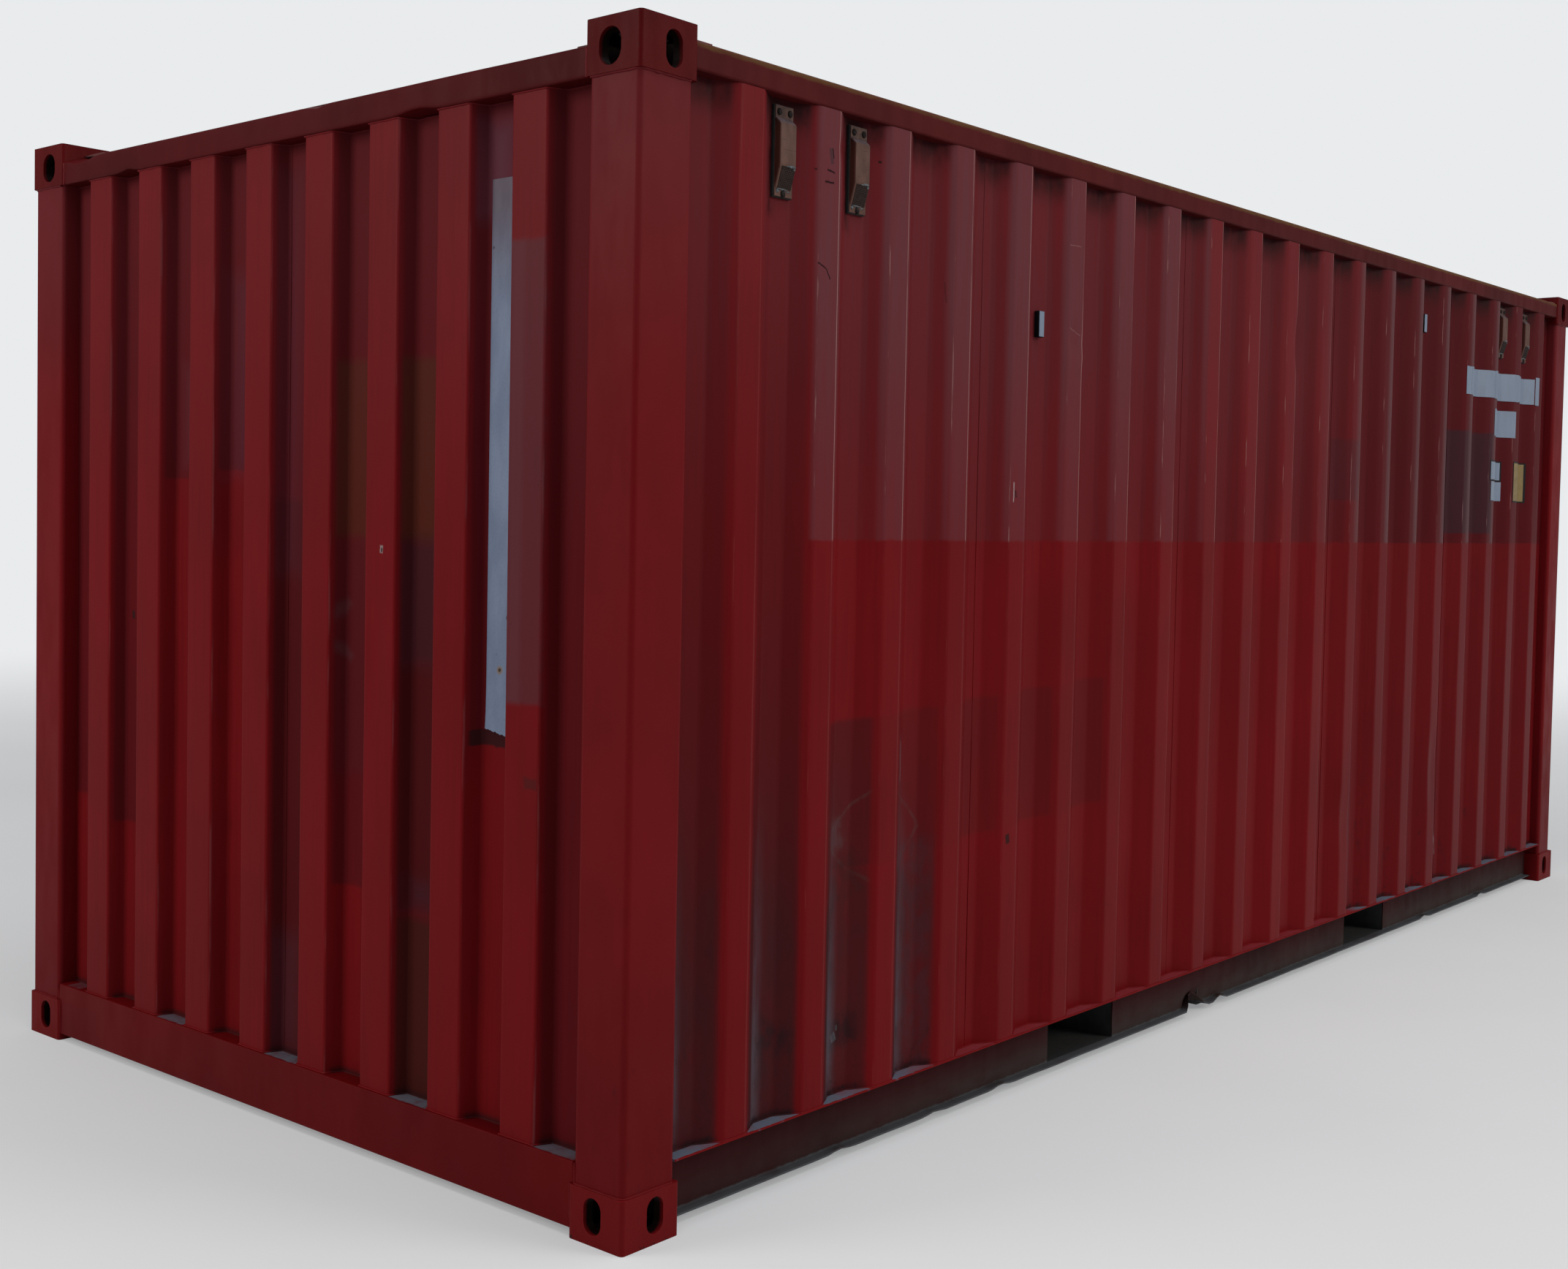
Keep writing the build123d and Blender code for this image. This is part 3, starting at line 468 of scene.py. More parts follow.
    def foot_dirt(self):
        """Grey dirt beside each crest near the foot, dark specks, and grime where sheet and rail meet."""
        clouds = (self.grain(0.07, (1, 1, 4), 6, 0.65), 0.3, 0.62, 0.25, 1.0)
        beside = ((self.across, 0.27, 0.34), (self.across, 0.5, 0.36))
        self.lay("#4d464e", *beside, (self.z, 1.0, 0.22), self.ends, clouds, 0.85)
        specks = (self.grain(0.045, (1, 1, 2.5), 6, 0.7), 0.56, 0.72)
        self.lay("#241619", specks, (self.z, 0.8, 0.3), self.ends, self.low, 0.6)
        seam = (self.z, FLOOR_TOP + 0.021, FLOOR_TOP + 0.005)
        line = self.share(seam, self.low, (self.grain(0.03), 0.35, 0.6, 0.3, 0.9), self.ends)
        flecks = (self.grain(0.012, detail=4), 0.58, 0.66)
        flecks = self.share(flecks, (self.z, 0.3, 0.19), self.ends, self.low, 0.5)
        self.lay("#251517", add(self.tree, "Math", (line, flecks), operation="ADD"))


def side_enamel():
    """The finished paint of the long walls, with its layers from the oldest to the last."""
    wall = SideWall("alkyd_enamel_on_side_sheets")
    wall.chalk_and_sheen()
    wall.old_coats()
    wall.darker_tones()
    wall.fold_wear_and_highlights()
    wall.painted_rail_shadow()
    wall.scuffed_loop()
    wall.marks()
    wall.foot_dirt()
    return wall.sprayed(wall.faded_and_sheen)


# The end wall's hollows from +Y on: the level up to which each was rolled over
END_LEVELS = (0.724, 0.669, 1.634, 1.656, 1.578, 0.635, 0.15, 1.027, 0.1)
OVER_TOP = 3.0
# Patches of other tones on it: y, z, half across, half up, tone, strength, where, softness, turn
END_TONES = (
    (-0.25, 1.705, 0.07, 0.215, "#4a2114", 0.7, "hollow", 0.015, 0),
    (-0.5, 1.701, 0.07, 0.215, "#452113", 0.7, "hollow", 0.015, 0),
    (-0.5, 0.375, 0.07, 0.215, "#2e1b13", 0.6, "hollow", 0.02, 0),
    (-0.49, 0.65, 0.04, 0.03, "#3f2c3a", 0.55, "hollow", 0.03, 0),
    (-0.5, 0.9, 0.076, 0.29, "#3a0f10", 0.6, "hollow", 0.02, 0),
    (-0.5, 1.34, 0.076, 0.15, "#34181d", 0.75, "hollow", 0.03, 0),
    (-0.25, 1.2, 0.076, 0.29, "#4a151a", 0.5, "hollow", 0.03, 0),
    (0.0, 0.87, 0.076, 0.71, "#3d1013", 0.75, "hollow", 0.01, 0),
    (0.03, 0.32, 0.05, 0.15, "#3f2c34", 0.3, "hollow", 0.05, 0),
    (0.03, 1.9, 0.03, 0.5, "#46303e", 0.22, "hollow", 0.05, 0),
    (0.25, 1.9, 0.04, 0.25, "#46303e", 0.3, "hollow", 0.05, 0),
    (0.47, 1.8, 0.04, 0.12, "#56343d", 0.35, "hollow", 0.05, 0),
    (-0.735, 2.33, 0.045, 0.1, "#593c4c", 0.5, "hollow", 0.05, 0),
    (-0.705, 1.043, 0.085, 0.017, "#2c1315", 0.85, "hollow", 0.003, 0),
    (-0.66, 1.04, 0.014, 0.03, "#261214", 0.8, "hollow", 0.005, 0),
    (-0.875, 1.644, 0.056, 0.508, "#4f272d", 0.72, "crest", 0.008, 0),
    (-0.845, 1.644, 0.02, 0.508, "#5c353b", 0.35, "crest", 0.012, 0),
    (-0.904, 0.962, 0.02, 0.012, "#2f1a1a", 0.5, "both", 0.006, 0),
    (0.766, 1.254, 0.007, 0.01, "#2a1818", 0.9, "both", 0.002, 0),
    (-0.382, 1.465, 0.006, 0.009, "#8a7c7c", 0.8, "both", 0.002, 0),
    (-0.383, 1.463, 0.003, 0.005, "#1d1010", 0.9, "both", 0.001, 0),
    (-0.19, 1.31, 0.03, 0.01, "#4e3338", 0.3, "hollow", 0.01, 0.9),
    (-0.19, 1.22, 0.04, 0.01, "#4e3338", 0.3, "hollow", 0.01, -0.8),
)


def end_enamel():
    """The end wall: each hollow was rolled over up to its own level, with darker patches above."""
    wall = Sheet("alkyd_enamel_on_end_sheets")
    tree = wall.tree
    crest = wall.share((wall.x, 0.023 - END_CREST, 0.007 - END_CREST))
    low = add(tree, "Math", (1.0, crest), operation="SUBTRACT")
    for hollow, level in enumerate(END_LEVELS):
        middle = (0, (END_COUNT / 2 - hollow) * END_PITCH, (level + OVER_TOP) / 2)
        older = wall.patch(wall.uneven, middle, (ANY, 0.076, (OVER_TOP - level) / 2), soft=0.006)
        wall.lay("#431015", older, low, 0.6)
    places = {"hollow": (low,), "crest": (crest,), "both": ()}
    for y, z, half_y, half_z, tone, strength, where, soft, turn in END_TONES:
        area = wall.patch(wall.uneven, (0, y, z), (ANY, half_y, half_z), turn, soft)
        wall.lay(tone, area, *places[where], strength)
    fold = add(tree, "Math", (off_crest(tree, wall.y, END_PITCH),), operation="ABSOLUTE")
    fold = add(tree, "Math", (fold, END_FOLD), operation="SUBTRACT")
    fold = add(tree, "Math", (fold,), operation="ABSOLUTE")
    rubbed = (wall.grain(0.02, (1, 1, 14)), 0.5, 0.62)
    wall.lay("#8d6a6c", (fold, 0.012, 0.003), rubbed, crest, 0.12)
    wall.lay("#2a1617", (wall.z, FLOOR_TOP + 0.02, FLOOR_TOP + 0.003), low, 0.7)
    wall.lay("#6a3d42", (wall.z, 1.2, 2.4, 0.0, 0.12))
    return wall.sprayed(low)


# Plastics, films and small parts


def plain_finish(name, light, dark, size, stretch=(1, 1, 1), gloss=(0.4, 0.6), lift=0.0003, **sockets):
    """A finish of two near tones in grains of one size, with its own roughness and relief."""
    skin = Finish(name, light, **sockets)
    spread = skin.grain(size, stretch, 5)
    fine = skin.grain(size / 9)
    skin.lay(dark, (spread, 0.32, 0.68))
    skin.lay(dark, (fine, 0.4, 0.75, 0.0, 0.3))
    return skin.sealed(skin.share((spread, 0.3, 0.7, *gloss)), skin.share(fine, lift))


def moulding_finish():
    """Moulded ABS, bleached tan on its face, browner at its sides and darker there as painted shade, paler
    grey on faces that look up as a painted sky light, with fine cracks.
    """
    vent = Finish("bleached_abs_moulding", "#573b31", Specular_IOR_Level=0.2)
    tree = vent.tree
    spread = vent.grain(0.03, (1, 1, 2), 5)
    vent.lay("#4a3028", (spread, 0.32, 0.68))
    normal = add(tree, "NewGeometry", out="True Normal")
    facing_x, _, facing_z = add(tree, "SeparateXYZ", (normal,)).node.outputs
    # Faces turned along the wall: browner, and darker as painted shade
    aside = add(tree, "Math", (facing_x,), operation="ABSOLUTE")
    vent.lay("#46201a", (aside, 0.5, 0.8, 0.0, 0.8))
    # Faces that look up: paler grey, a painted sky light
    vent.lay("#5e545c", (facing_z, 0.4, 0.7, 0.0, 0.7))
    vent.lay("#1c1210", (vent.grain(0.012, detail=4), 0.35, 0.6, 0.3, 1.0), (vent.z, 2.43, 2.455), 0.55)
    # Cracks about 21 mm apart, level and broken
    crack = add(tree, "SeparateXYZ", (vent.ragged(vent.place, 0.006, 0.012),), "Z")
    for operation, by in (("DIVIDE", 0.021), ("FRACT", 0.0), ("SUBTRACT", 0.5), ("ABSOLUTE", 0.0)):
        crack = add(tree, "Math", (crack, by), operation=operation)
    crack = vent.share((crack, 0.035, 0.015), (vent.grain(0.025, detail=2), 0.52, 0.58))
    vent.lay("#331a14", crack, 0.7)
    return vent.sealed(vent.share((spread, 0.3, 0.7, 0.5, 0.62)), vent.share(crack, -0.0004))


# Spots on the end film: y, z, reach, solid reach, tone, strength
FILM_SPOTS = (
    (-0.754, 1.2, 0.013, 0.004, "#7a5a2c", 0.8),
    (-0.754, 1.2, 0.006, 0.003, "#23160e", 0.95),
    (-0.716, 2.152, 0.005, 0.002, "#2c222a", 0.8),
    (-0.779, 1.32, 0.008, 0.004, "#1d1a20", 0.9),
    (-0.742, 1.235, 0.0025, 0.001, "#2c2a30", 0.8),
)
FILM_X = -2.97


def strip_film():
    """White vinyl film, chalky and grimed, sprayed over at its top, with a rust spot and a fleck."""
    film = Finish("grimed_vinyl_strip", "#6f7d95", Specular_IOR_Level=0.3)
    spread = film.grain(0.05, (1, 1, 3), 4)
    fine = film.grain(0.006)
    film.lay("#647189", (spread, 0.3, 0.7))
    film.lay("#4c5466", (fine, 0.5, 0.75, 0.0, 0.25))
    film.lay("#4b3842", (film.z, 1.95, 2.32, 0.0, 0.88))
    for y, z, reach, inner, tone, strength in FILM_SPOTS:
        links = (film.ragged(film.place, 0.003, 0.008), (FILM_X, y, z))
        away = add(film.tree, "VectorMath", links, "Value", operation="DISTANCE")
        film.lay(tone, (away, reach, inner), strength)
    return film.sealed(film.share((spread, 0.3, 0.7, 0.4, 0.6)), film.share(fine, 0.0001), 0.5)


# Sprayed alkyd enamel on the pressed sheets, matt where it has chalked
SIDE_PAINT = side_enamel()
END_PAINT = end_enamel()
# Brushed alkyd enamel on plate: soft gloss, a little uneven
FRAME_PAINT = post_enamel()
# The same enamel on the front header, older and darker
HEADER_PAINT = Paint("old_enamel_on_header", "#4a0a0d", "#40090b").brushed()
# The same enamel over the rough skin of cast steel
FITTING_PAINT = fitting_enamel()
# Older coats on the rails and the sill, dull with road dirt
RAIL_PAINT = rail_paint()
SILL_PAINT = sill_enamel()
TOP_RAIL_PAINT = top_rail_enamel()
# Door enamel, older and a little duller
DOOR_PAINT = Paint("enamel_on_door_sheets", "#660c0e", "#5a0b0d", (0.45, 0.58)).brushed()
# Roof enamel with settled grime
ROOF_PAINT = plain_finish(
    "weathered_enamel_on_roof", "#67292a", "#4d2a29", 0.22, (1, 3, 1), (0.6, 0.8), 0.0008
)
# Wax and bitumen coating under the floor: near black, uneven, without shine
UNDER_COATING = plain_finish("bitumen_wax_coating", "#2b2c2c", "#1b1b1b", 0.08, gloss=(0.6, 0.85), lift=0.002)
# Hot dip galvanised steel, dulled grey with faint spangle
ZINC = plain_finish(
    "galvanised_door_gear", "#85888a", "#66696b", 0.018, (1, 1, 1.6), (0.42, 0.6), 0.0002, Metallic=0.75
)
# Black EPDM rubber, dull
RUBBER = plain_finish("epdm_door_seal", "#1b1b1c", "#121213", 0.03, gloss=(0.55, 0.7))
# Plywood with its grain along the floor
PLYWOOD = plain_finish("keruing_plywood", "#7b5438", "#5a3922", 0.012, (30, 1, 1), (0.5, 0.65))
# Moulded ABS, bleached brown by the sun, with painted shade at its sides and painted sky light on faces that
# look up
ABS = moulding_finish()
# Black sponge rubber under a moulding, quite matt
SPONGE = plain_finish("black_sponge_gasket", "#181818", "#101010", 0.01, gloss=(0.8, 0.9), lift=0.0006)
# Grey sealant smeared by hand
SEALANT = plain_finish("grey_sealant", "#5f6468", "#33353a", 0.004, gloss=(0.35, 0.55), lift=0.002)
# Woven wire screen, browned and clogged with grime
SCREEN = plain_finish(
    "wire_screen", "#30231f", "#231a17", 0.01, gloss=(0.55, 0.65), lift=0.0001, Specular_IOR_Level=0.2
)
# Screw heads painted over and black with grime
SCREW = plain_finish(
    "grimy_screw_heads", "#1d1614", "#120e0d", 0.004, gloss=(0.6, 0.8), lift=0.0004, Specular_IOR_Level=0.15
)
# White vinyl film, chalky, with a little grime
VINYL = plain_finish("white_vinyl_film", "#6e7c8f", "#667386", 0.05, (1, 1, 3), (0.35, 0.5), 0.0001)
# The same film on the end wall, sprayed over at its top, with a rust spot
STRIP_VINYL = strip_film()
# Yellow vinyl film, faded to ochre
YELLOW_VINYL = plain_finish("yellow_vinyl_film", "#75602b", "#6a5527", 0.03, gloss=(0.4, 0.5), lift=0.0001)
# Black vinyl film, with a soft shine
BLACK_VINYL = plain_finish(
    "black_vinyl_film", "#151417", "#0f0e11", 0.02, gloss=(0.4, 0.5), lift=0.0001, Specular_IOR_Level=0.1
)


# Making pieces


def piece(name, shape, look, angle=35, weighted=False):
    """Turns a finished shape into an object that rides on the container."""
    mesh = bpy.data.meshes.new(name)
    shape.to_mesh(mesh)
    shape.free()
    mesh.polygons.foreach_set("use_smooth", [True] * len(mesh.polygons))
    mesh.set_sharp_from_angle(angle=math.radians(angle))
    mesh.materials.append(look)
    made = bpy.data.objects.new(name, mesh)
    bpy.context.scene.collection.objects.link(made)
    if weighted:
        normals = made.modifiers.new("even_normals", "WEIGHTED_NORMAL")
        normals.keep_sharp = True
    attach(made, "root")
    return made


def soften(shape, edges, width, segments=2, clamp=False):
    """Rounds some edges of a shape."""
    bmesh.ops.bevel(
        shape, geom=edges, offset=width, offset_type="OFFSET", segments=segments,
        profile=0.5, affect="EDGES", material=-1, clamp_overlap=clamp,
    )


def shift(shape, drawn, travel):
    """Moves what an extrusion has drawn out."""
    verts = [part for part in drawn["geom"] if isinstance(part, bmesh.types.BMVert)]
    bmesh.ops.translate(shape, verts=verts, vec=travel)


def block(shape, low, high, round_off=0.0, segments=2):
    """Adds a box between two corners, with its edges rounded."""
    middle = (Vector(low) + Vector(high)) / 2
    size = Vector(high) - Vector(low)
    matrix = Matrix.Translation(middle) @ Matrix.Diagonal((*size, 1))
    verts = bmesh.ops.create_cube(shape, size=1.0, matrix=matrix)["verts"]
    if round_off:
        soften(shape, list({edge for vert in verts for edge in vert.link_edges}), round_off, segments)


def cut_at(shape, axis, levels):
    """Cuts every face of a shape at these levels along an axis."""
    for level in levels:
        point = [0.0, 0.0, 0.0]
        normal = [0.0, 0.0, 0.0]
        point[axis] = level
        normal[axis] = 1.0
        geom = shape.verts[:] + shape.edges[:] + shape.faces[:]
        bmesh.ops.bisect_plane(shape, geom=geom, dist=1e-5, plane_co=point, plane_no=normal)


def steps(low, high, pitch):
    """Levels between two ends, about a pitch apart."""
    count = max(1, round((high - low) / pitch))
    return [low + (high - low) * number / count for number in range(1, count)]


def drawn_line(points, travel, bend):
    """An open line drawn along a travel, with its folds rounded."""
    shape = bmesh.new()
    corners = [shape.verts.new(point) for point in points]
    edges = [shape.edges.new(pair) for pair in zip(corners, corners[1:])]
    shift(shape, bmesh.ops.extrude_edge_only(shape, edges=edges), travel)
    soften(shape, [edge for edge in shape.edges if len(edge.link_faces) == 2], bend, 3)
    return shape


def wave(count, pitch, crest, slope, reach, depth):
    """Corners of a pressed sheet's outer line: how far along, and how far behind the crests."""
    line = [(-reach, depth)]
    for number in range(count):
        middle = (number - (count - 1) / 2) * pitch
        line.append((middle - crest / 2 - slope, depth))
        line.append((middle - crest / 2, 0.0))
        line.append((middle + crest / 2, 0.0))
        line.append((middle + crest / 2 + slope, depth))
    line.append((reach, depth))
    return line


def middles(line, parts=2):
    """Places that share out each flat of a sheet's line."""
    found = []
    for (near, _), (far, _) in zip(line, line[1:]):
        found += [near + (far - near) * part / parts for part in range(1, parts)]
    return found


def bumped(value, centre, reach):
    """A soft bump: 1 at the centre and 0 from reach on."""
    away = min(1.0, abs(value - centre) / reach)
    return (1 - away * away) ** 2


def outward(shape, direction):
    """Turns an open shape's faces so that they look the given way."""
    shape.normal_update()
    facing = sum((face.normal * face.calc_area() for face in shape.faces), Vector())
    if facing.dot(Vector(direction)) < 0:
        bmesh.ops.reverse_faces(shape, faces=shape.faces[:])
    shape.normal_update()


# Side walls

SIDE_BEND = 0.0065
SIDE_SHEET = 0.0016

# Dents of the photographed side: x, z, reach along, reach up, push
SIDE_DENTS = (
    (-1.262, 2.07, 0.05, 0.035, -0.010),
    (-1.25, 2.03, 0.06, 0.03, 0.005),
    (0.235, 2.17, 0.09, 0.12, -0.014),
    (0.26, 2.02, 0.05, 0.07, 0.006),
    (-2.31, 2.42, 0.06, 0.05, -0.004),
    (-2.66, 2.25, 0.05, 0.2, -0.005),
    (1.55, 0.62, 0.08, 0.2, -0.007),
    (-0.85, 0.45, 0.07, 0.15, -0.005),
    (0.7, 0.5, 0.12, 0.14, -0.006),
)
SIDE_LINE = wave(SIDE_COUNT, SIDE_PITCH, SIDE_CREST_WIDTH, SIDE_SLOPE, SIDE_REACH, SIDE_DEPTH)


def side_wall(name, side, dented):
    """A long wall: pressed sheet with rounded folds, a little uneven, with its dents."""
    crest_y = side * SIDE_CREST
    points = [(along, crest_y - side * back, FLOOR_TOP) for along, back in SIDE_LINE]
    shape = drawn_line(points, (0, 0, TUBE_BASE - FLOOR_TOP), SIDE_BEND)
    cut_at(shape, 0, middles(SIDE_LINE, 3))
    cut_at(shape, 2, steps(FLOOR_TOP, TUBE_BASE, 0.04 if dented else 0.1))
    outward(shape, (0, side, 0))
    for vert in shape.verts:
        x, z = vert.co.x, vert.co.z
        free = min(1.0, (z - FLOOR_TOP) / 0.25, (TUBE_BASE - z) / 0.25)
        push = -0.0012 * free * (0.5 + 0.5 * noise.noise(Vector((x * 2.2, side * 3.0, z * 1.3))))
        if dented:
            push += sum(p * bumped(x, dx, rx) * bumped(z, dz, rz) for dx, dz, rx, rz, p in SIDE_DENTS)
        depth = abs(vert.co.y) + push
        vert.co.y = side * min(depth, SIDE_CREST)
    bmesh.ops.solidify(shape, geom=shape.faces[:], thickness=SIDE_SHEET)
    return piece(name, shape, SIDE_PAINT, weighted=True)


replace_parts(side_wall("left_wall_sheets", -1, True), "left_side_wall")
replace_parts(side_wall("right_wall_sheets", 1, False), "right_side_wall")


# Front end wall

END_LINE = wave(END_COUNT, END_PITCH, END_CREST_WIDTH, END_SLOPE, END_REACH, END_DEPTH)
END_DENTS = (
    (-0.88, 2.175, 0.05, 0.03, -0.006),
    (-0.85, 2.2, 0.03, 0.03, 0.003),
    (0.28, 0.72, 0.04, 0.06, -0.004),
    (-0.36, 1.2, 0.05, 0.25, -0.004),
    (0.62, 1.9, 0.05, 0.2, -0.003),
)

END_BEND = 0.006
END_SHEET = 0.002
end_points = [(back - END_CREST, along, FLOOR_TOP) for along, back in END_LINE]
end_shape = drawn_line(end_points, (0, 0, POST_TOP - FLOOR_TOP), END_BEND)
cut_at(end_shape, 1, middles(END_LINE, 3))
cut_at(end_shape, 2, steps(FLOOR_TOP, POST_TOP, 0.04))
outward(end_shape, (-1, 0, 0))
for vert in end_shape.verts:
    y, z = vert.co.y, vert.co.z
    free = min(1.0, (z - FLOOR_TOP) / 0.25, (POST_TOP - z) / 0.25)
    push = -0.0015 * free * (0.5 + 0.5 * noise.noise(Vector((1.7, y * 2.5, z * 1.2))))
    push += sum(p * bumped(y, dy, ry) * bumped(z, dz, rz) for dy, dz, ry, rz, p in END_DENTS)
    vert.co.x = -min(END_CREST, -vert.co.x + push)
bmesh.ops.solidify(end_shape, geom=end_shape.faces[:], thickness=END_SHEET)
end_wall = piece("front_wall_sheets", end_shape, END_PAINT, weighted=True)
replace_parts(end_wall, "front_end_wall")


# Bottom rails

LIP_WIDTH = 0.028
LIP_TOP = 0.05
# Dents of the lower lip: x, reach, lift, push inwards
LIP_DENTS = (
    (-2.222, 0.05, 0.004, 0.002),
    (-1.819, 0.05, 0.004, 0.002),
    (-1.499, 0.06, 0.006, 0.003),
    (-0.343, 0.075, 0.045, 0.03),
    (-0.24, 0.06, -0.006, 0.008),
    (-0.177, 0.04, 0.014, 0.006),
    (1.598, 0.05, 0.008, 0.003),
    (2.234, 0.05, 0.008, 0.003),
)


def bottom_rail(name, side, dented):
    """A channel that opens outwards, cut away at the fork pockets, with its dented lip."""
    start = -SIDE_REACH
    points = [
        (start, side * STEEL_Y, FLOOR_TOP),
        (start, side * WEB_Y, FLOOR_TOP),
        (start, side * WEB_Y, RAIL_FOOT),
        (start, side * (WEB_Y + LIP_WIDTH), RAIL_FOOT),
    ]
    shape = drawn_line(points, (2 * SIDE_REACH, 0, 0), 0.003)
    pocket_edges = [end * (POCKET_MIDDLE + part * POCKET_HALF) for end in (-1, 1) for part in (-1, 1)]
    pocket_low = RAIL_FOOT + RAIL_PLATE
    pocket_high = FLOOR_TOP - RAIL_PLATE
    cut_at(shape, 2, [pocket_low, 0.04, 0.06, 0.09, 0.125, pocket_high])
    cut_at(shape, 1, [side * (WEB_Y + out) for out in (0.011, 0.02, 0.03, 0.045)])
    cut_at(shape, 0, pocket_edges + steps(-SIDE_REACH, SIDE_REACH, 0.028))
    gone = []
    for face in shape.faces:
        middle = face.calc_center_median()
        inside = abs(abs(middle.x) - POCKET_MIDDLE) < POCKET_HALF
        on_web = abs(abs(middle.y) - WEB_Y) < 0.001 and pocket_low < middle.z < pocket_high
        if inside and on_web:
            gone.append(face)
    bmesh.ops.delete(shape, geom=gone, context="FACES")
    for face in shape.faces:
        face.normal_update()
    web = [face for face in shape.faces if abs(face.normal.y) > 0.9]
    if sum(face.normal.y * side for face in web) < 0:
        bmesh.ops.reverse_faces(shape, faces=shape.faces[:])
    for vert in shape.verts:
        x, y, z = vert.co
        on_lip = z < LIP_TOP
        low = max(0.0, 1 - (z - RAIL_FOOT) / 0.07)
        out = max(0.0, (abs(y) - WEB_Y) / LIP_WIDTH) if on_lip else 0.0
        if dented:
            for place, reach, lift, push in LIP_DENTS:
                there = bumped(x, place, reach)
                vert.co.z += lift * there * (0.3 + 0.7 * out) * on_lip
                vert.co.y -= side * push * there * low
            torn = abs(x + POCKET_MIDDLE - POCKET_HALF) < 0.001
            if torn and pocket_low + 0.002 < z < pocket_high - 0.002:
                vert.co.x += 0.004 * noise.noise(Vector((0, z * 160, 1.5)))
        if on_lip:
            vert.co.z += 0.0012 * out * noise.noise(Vector((x * 7, side, 0)))
    bmesh.ops.solidify(shape, geom=shape.faces[:], thickness=-RAIL_PLATE)
    return piece(name, shape, RAIL_PAINT)


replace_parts(bottom_rail("left_channel_rail", -1, True), "left_bottom_rail")
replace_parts(bottom_rail("right_channel_rail", 1, False), "right_bottom_rail")


# Front header rail

HEADER_SHOULDER = (-2.957, TUBE_TOP)
HEADER_BACK = -2.927
# Its dents: y, reach, lift of the lower edge; then the sag of the upper edge
HEADER_KINKS = ((0.725, 0.05, 0.008), (-0.5, 0.09, 0.009))
HEADER_SAGS = ((0.97, 0.09, 0.014), (-0.12, 0.05, 0.007))

header_low, header_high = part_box("front_header_rail")
header_shape = bmesh.new()
header_corners = (
    (-STEEL_X, POST_TOP),
    (-STEEL_X, POST_TOP + 0.067),
    HEADER_SHOULDER,
    (HEADER_BACK, TUBE_TOP),
    (HEADER_BACK, POST_TOP),
)
header_verts = [header_shape.verts.new((x, header_low.y, z)) for x, z in header_corners]
header_ends = bmesh.ops.extrude_face_region(header_shape, geom=[header_shape.faces.new(header_verts)])
shift(header_shape, header_ends, (0, header_high.y - header_low.y, 0))
header_long = [e for e in header_shape.edges if abs(e.verts[0].co.y - e.verts[1].co.y) > 1]
soften(header_shape, header_long, 0.005, 3)
cut_at(header_shape, 1, steps(header_low.y, header_high.y, 0.03))
cut_at(header_shape, 2, [2.485, 2.5, 2.52])
bmesh.ops.recalc_face_normals(header_shape, faces=header_shape.faces[:])
for vert in header_shape.verts:
    y, z = vert.co.y, vert.co.z
    if abs(vert.co.x + STEEL_X) < 0.012 and z < POST_TOP + 0.017:
        vert.co.z += sum(lift * bumped(y, middle, reach) for middle, reach, lift in HEADER_KINKS)
    if z > TUBE_TOP - 0.03:
        vert.co.z -= sum(sag * bumped(y, middle, reach) for middle, reach, sag in HEADER_SAGS)
        vert.co.z -= 0.0025 * (0.5 + 0.5 * noise.noise(Vector((0, y * 2.3, 4))))
header_rail = piece("front_header_tube", header_shape, HEADER_PAINT)
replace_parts(header_rail, "front_header_rail")


# CAD pieces with their edges rounded


def rounded(node, width, look, segments=2, angle=30):
    """A copy of a CAD piece whose sharp edges are rounded."""
    shape = bmesh.new()
    shape.from_mesh(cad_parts[node].data)
    bmesh.ops.remove_doubles(shape, verts=shape.verts[:], dist=2e-5)
    bmesh.ops.dissolve_limit(
        shape, angle_limit=math.radians(1), verts=shape.verts[:], edges=shape.edges[:],
        use_dissolve_boundaries=False,
    )
    sharp = [e for e in shape.edges if len(e.link_faces) == 2 and e.calc_face_angle() > math.radians(angle)]
    soften(shape, sharp, width, segments, clamp=True)
    made = piece(node + "_rounded", shape, look, weighted=True)
    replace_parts(made, node)
    return made


for end_name in ("front", "rear"):
    for side_name in ("left", "right"):
        for level_name in ("bottom", "top"):
            rounded(f"{end_name}_{side_name}_{level_name}_fitting", 0.004, FITTING_PAINT, 3)
for node, width, look, slot in (
    ("front_sill", 0.003, SILL_PAINT, "frame_paint"),
    ("door_sill", 0.0025, FRAME_PAINT, "frame_paint"),
    ("door_header", 0.003, FRAME_PAINT, "frame_paint"),
    ("left_door_frame", 0.003, DOOR_PAINT, "door_paint"),
    ("right_door_frame", 0.003, DOOR_PAINT, "door_paint"),
    ("left_door_handles", 0.002, ZINC, "zinc_plated_gear"),
    ("right_door_handles", 0.002, ZINC, "zinc_plated_gear"),
    ("cam_keepers", 0.0012, ZINC, "zinc_plated_gear"),
    ("roof_corner_plates", 0.001, ROOF_PAINT, "roof_paint"),
):
    rounded(node, width, look)

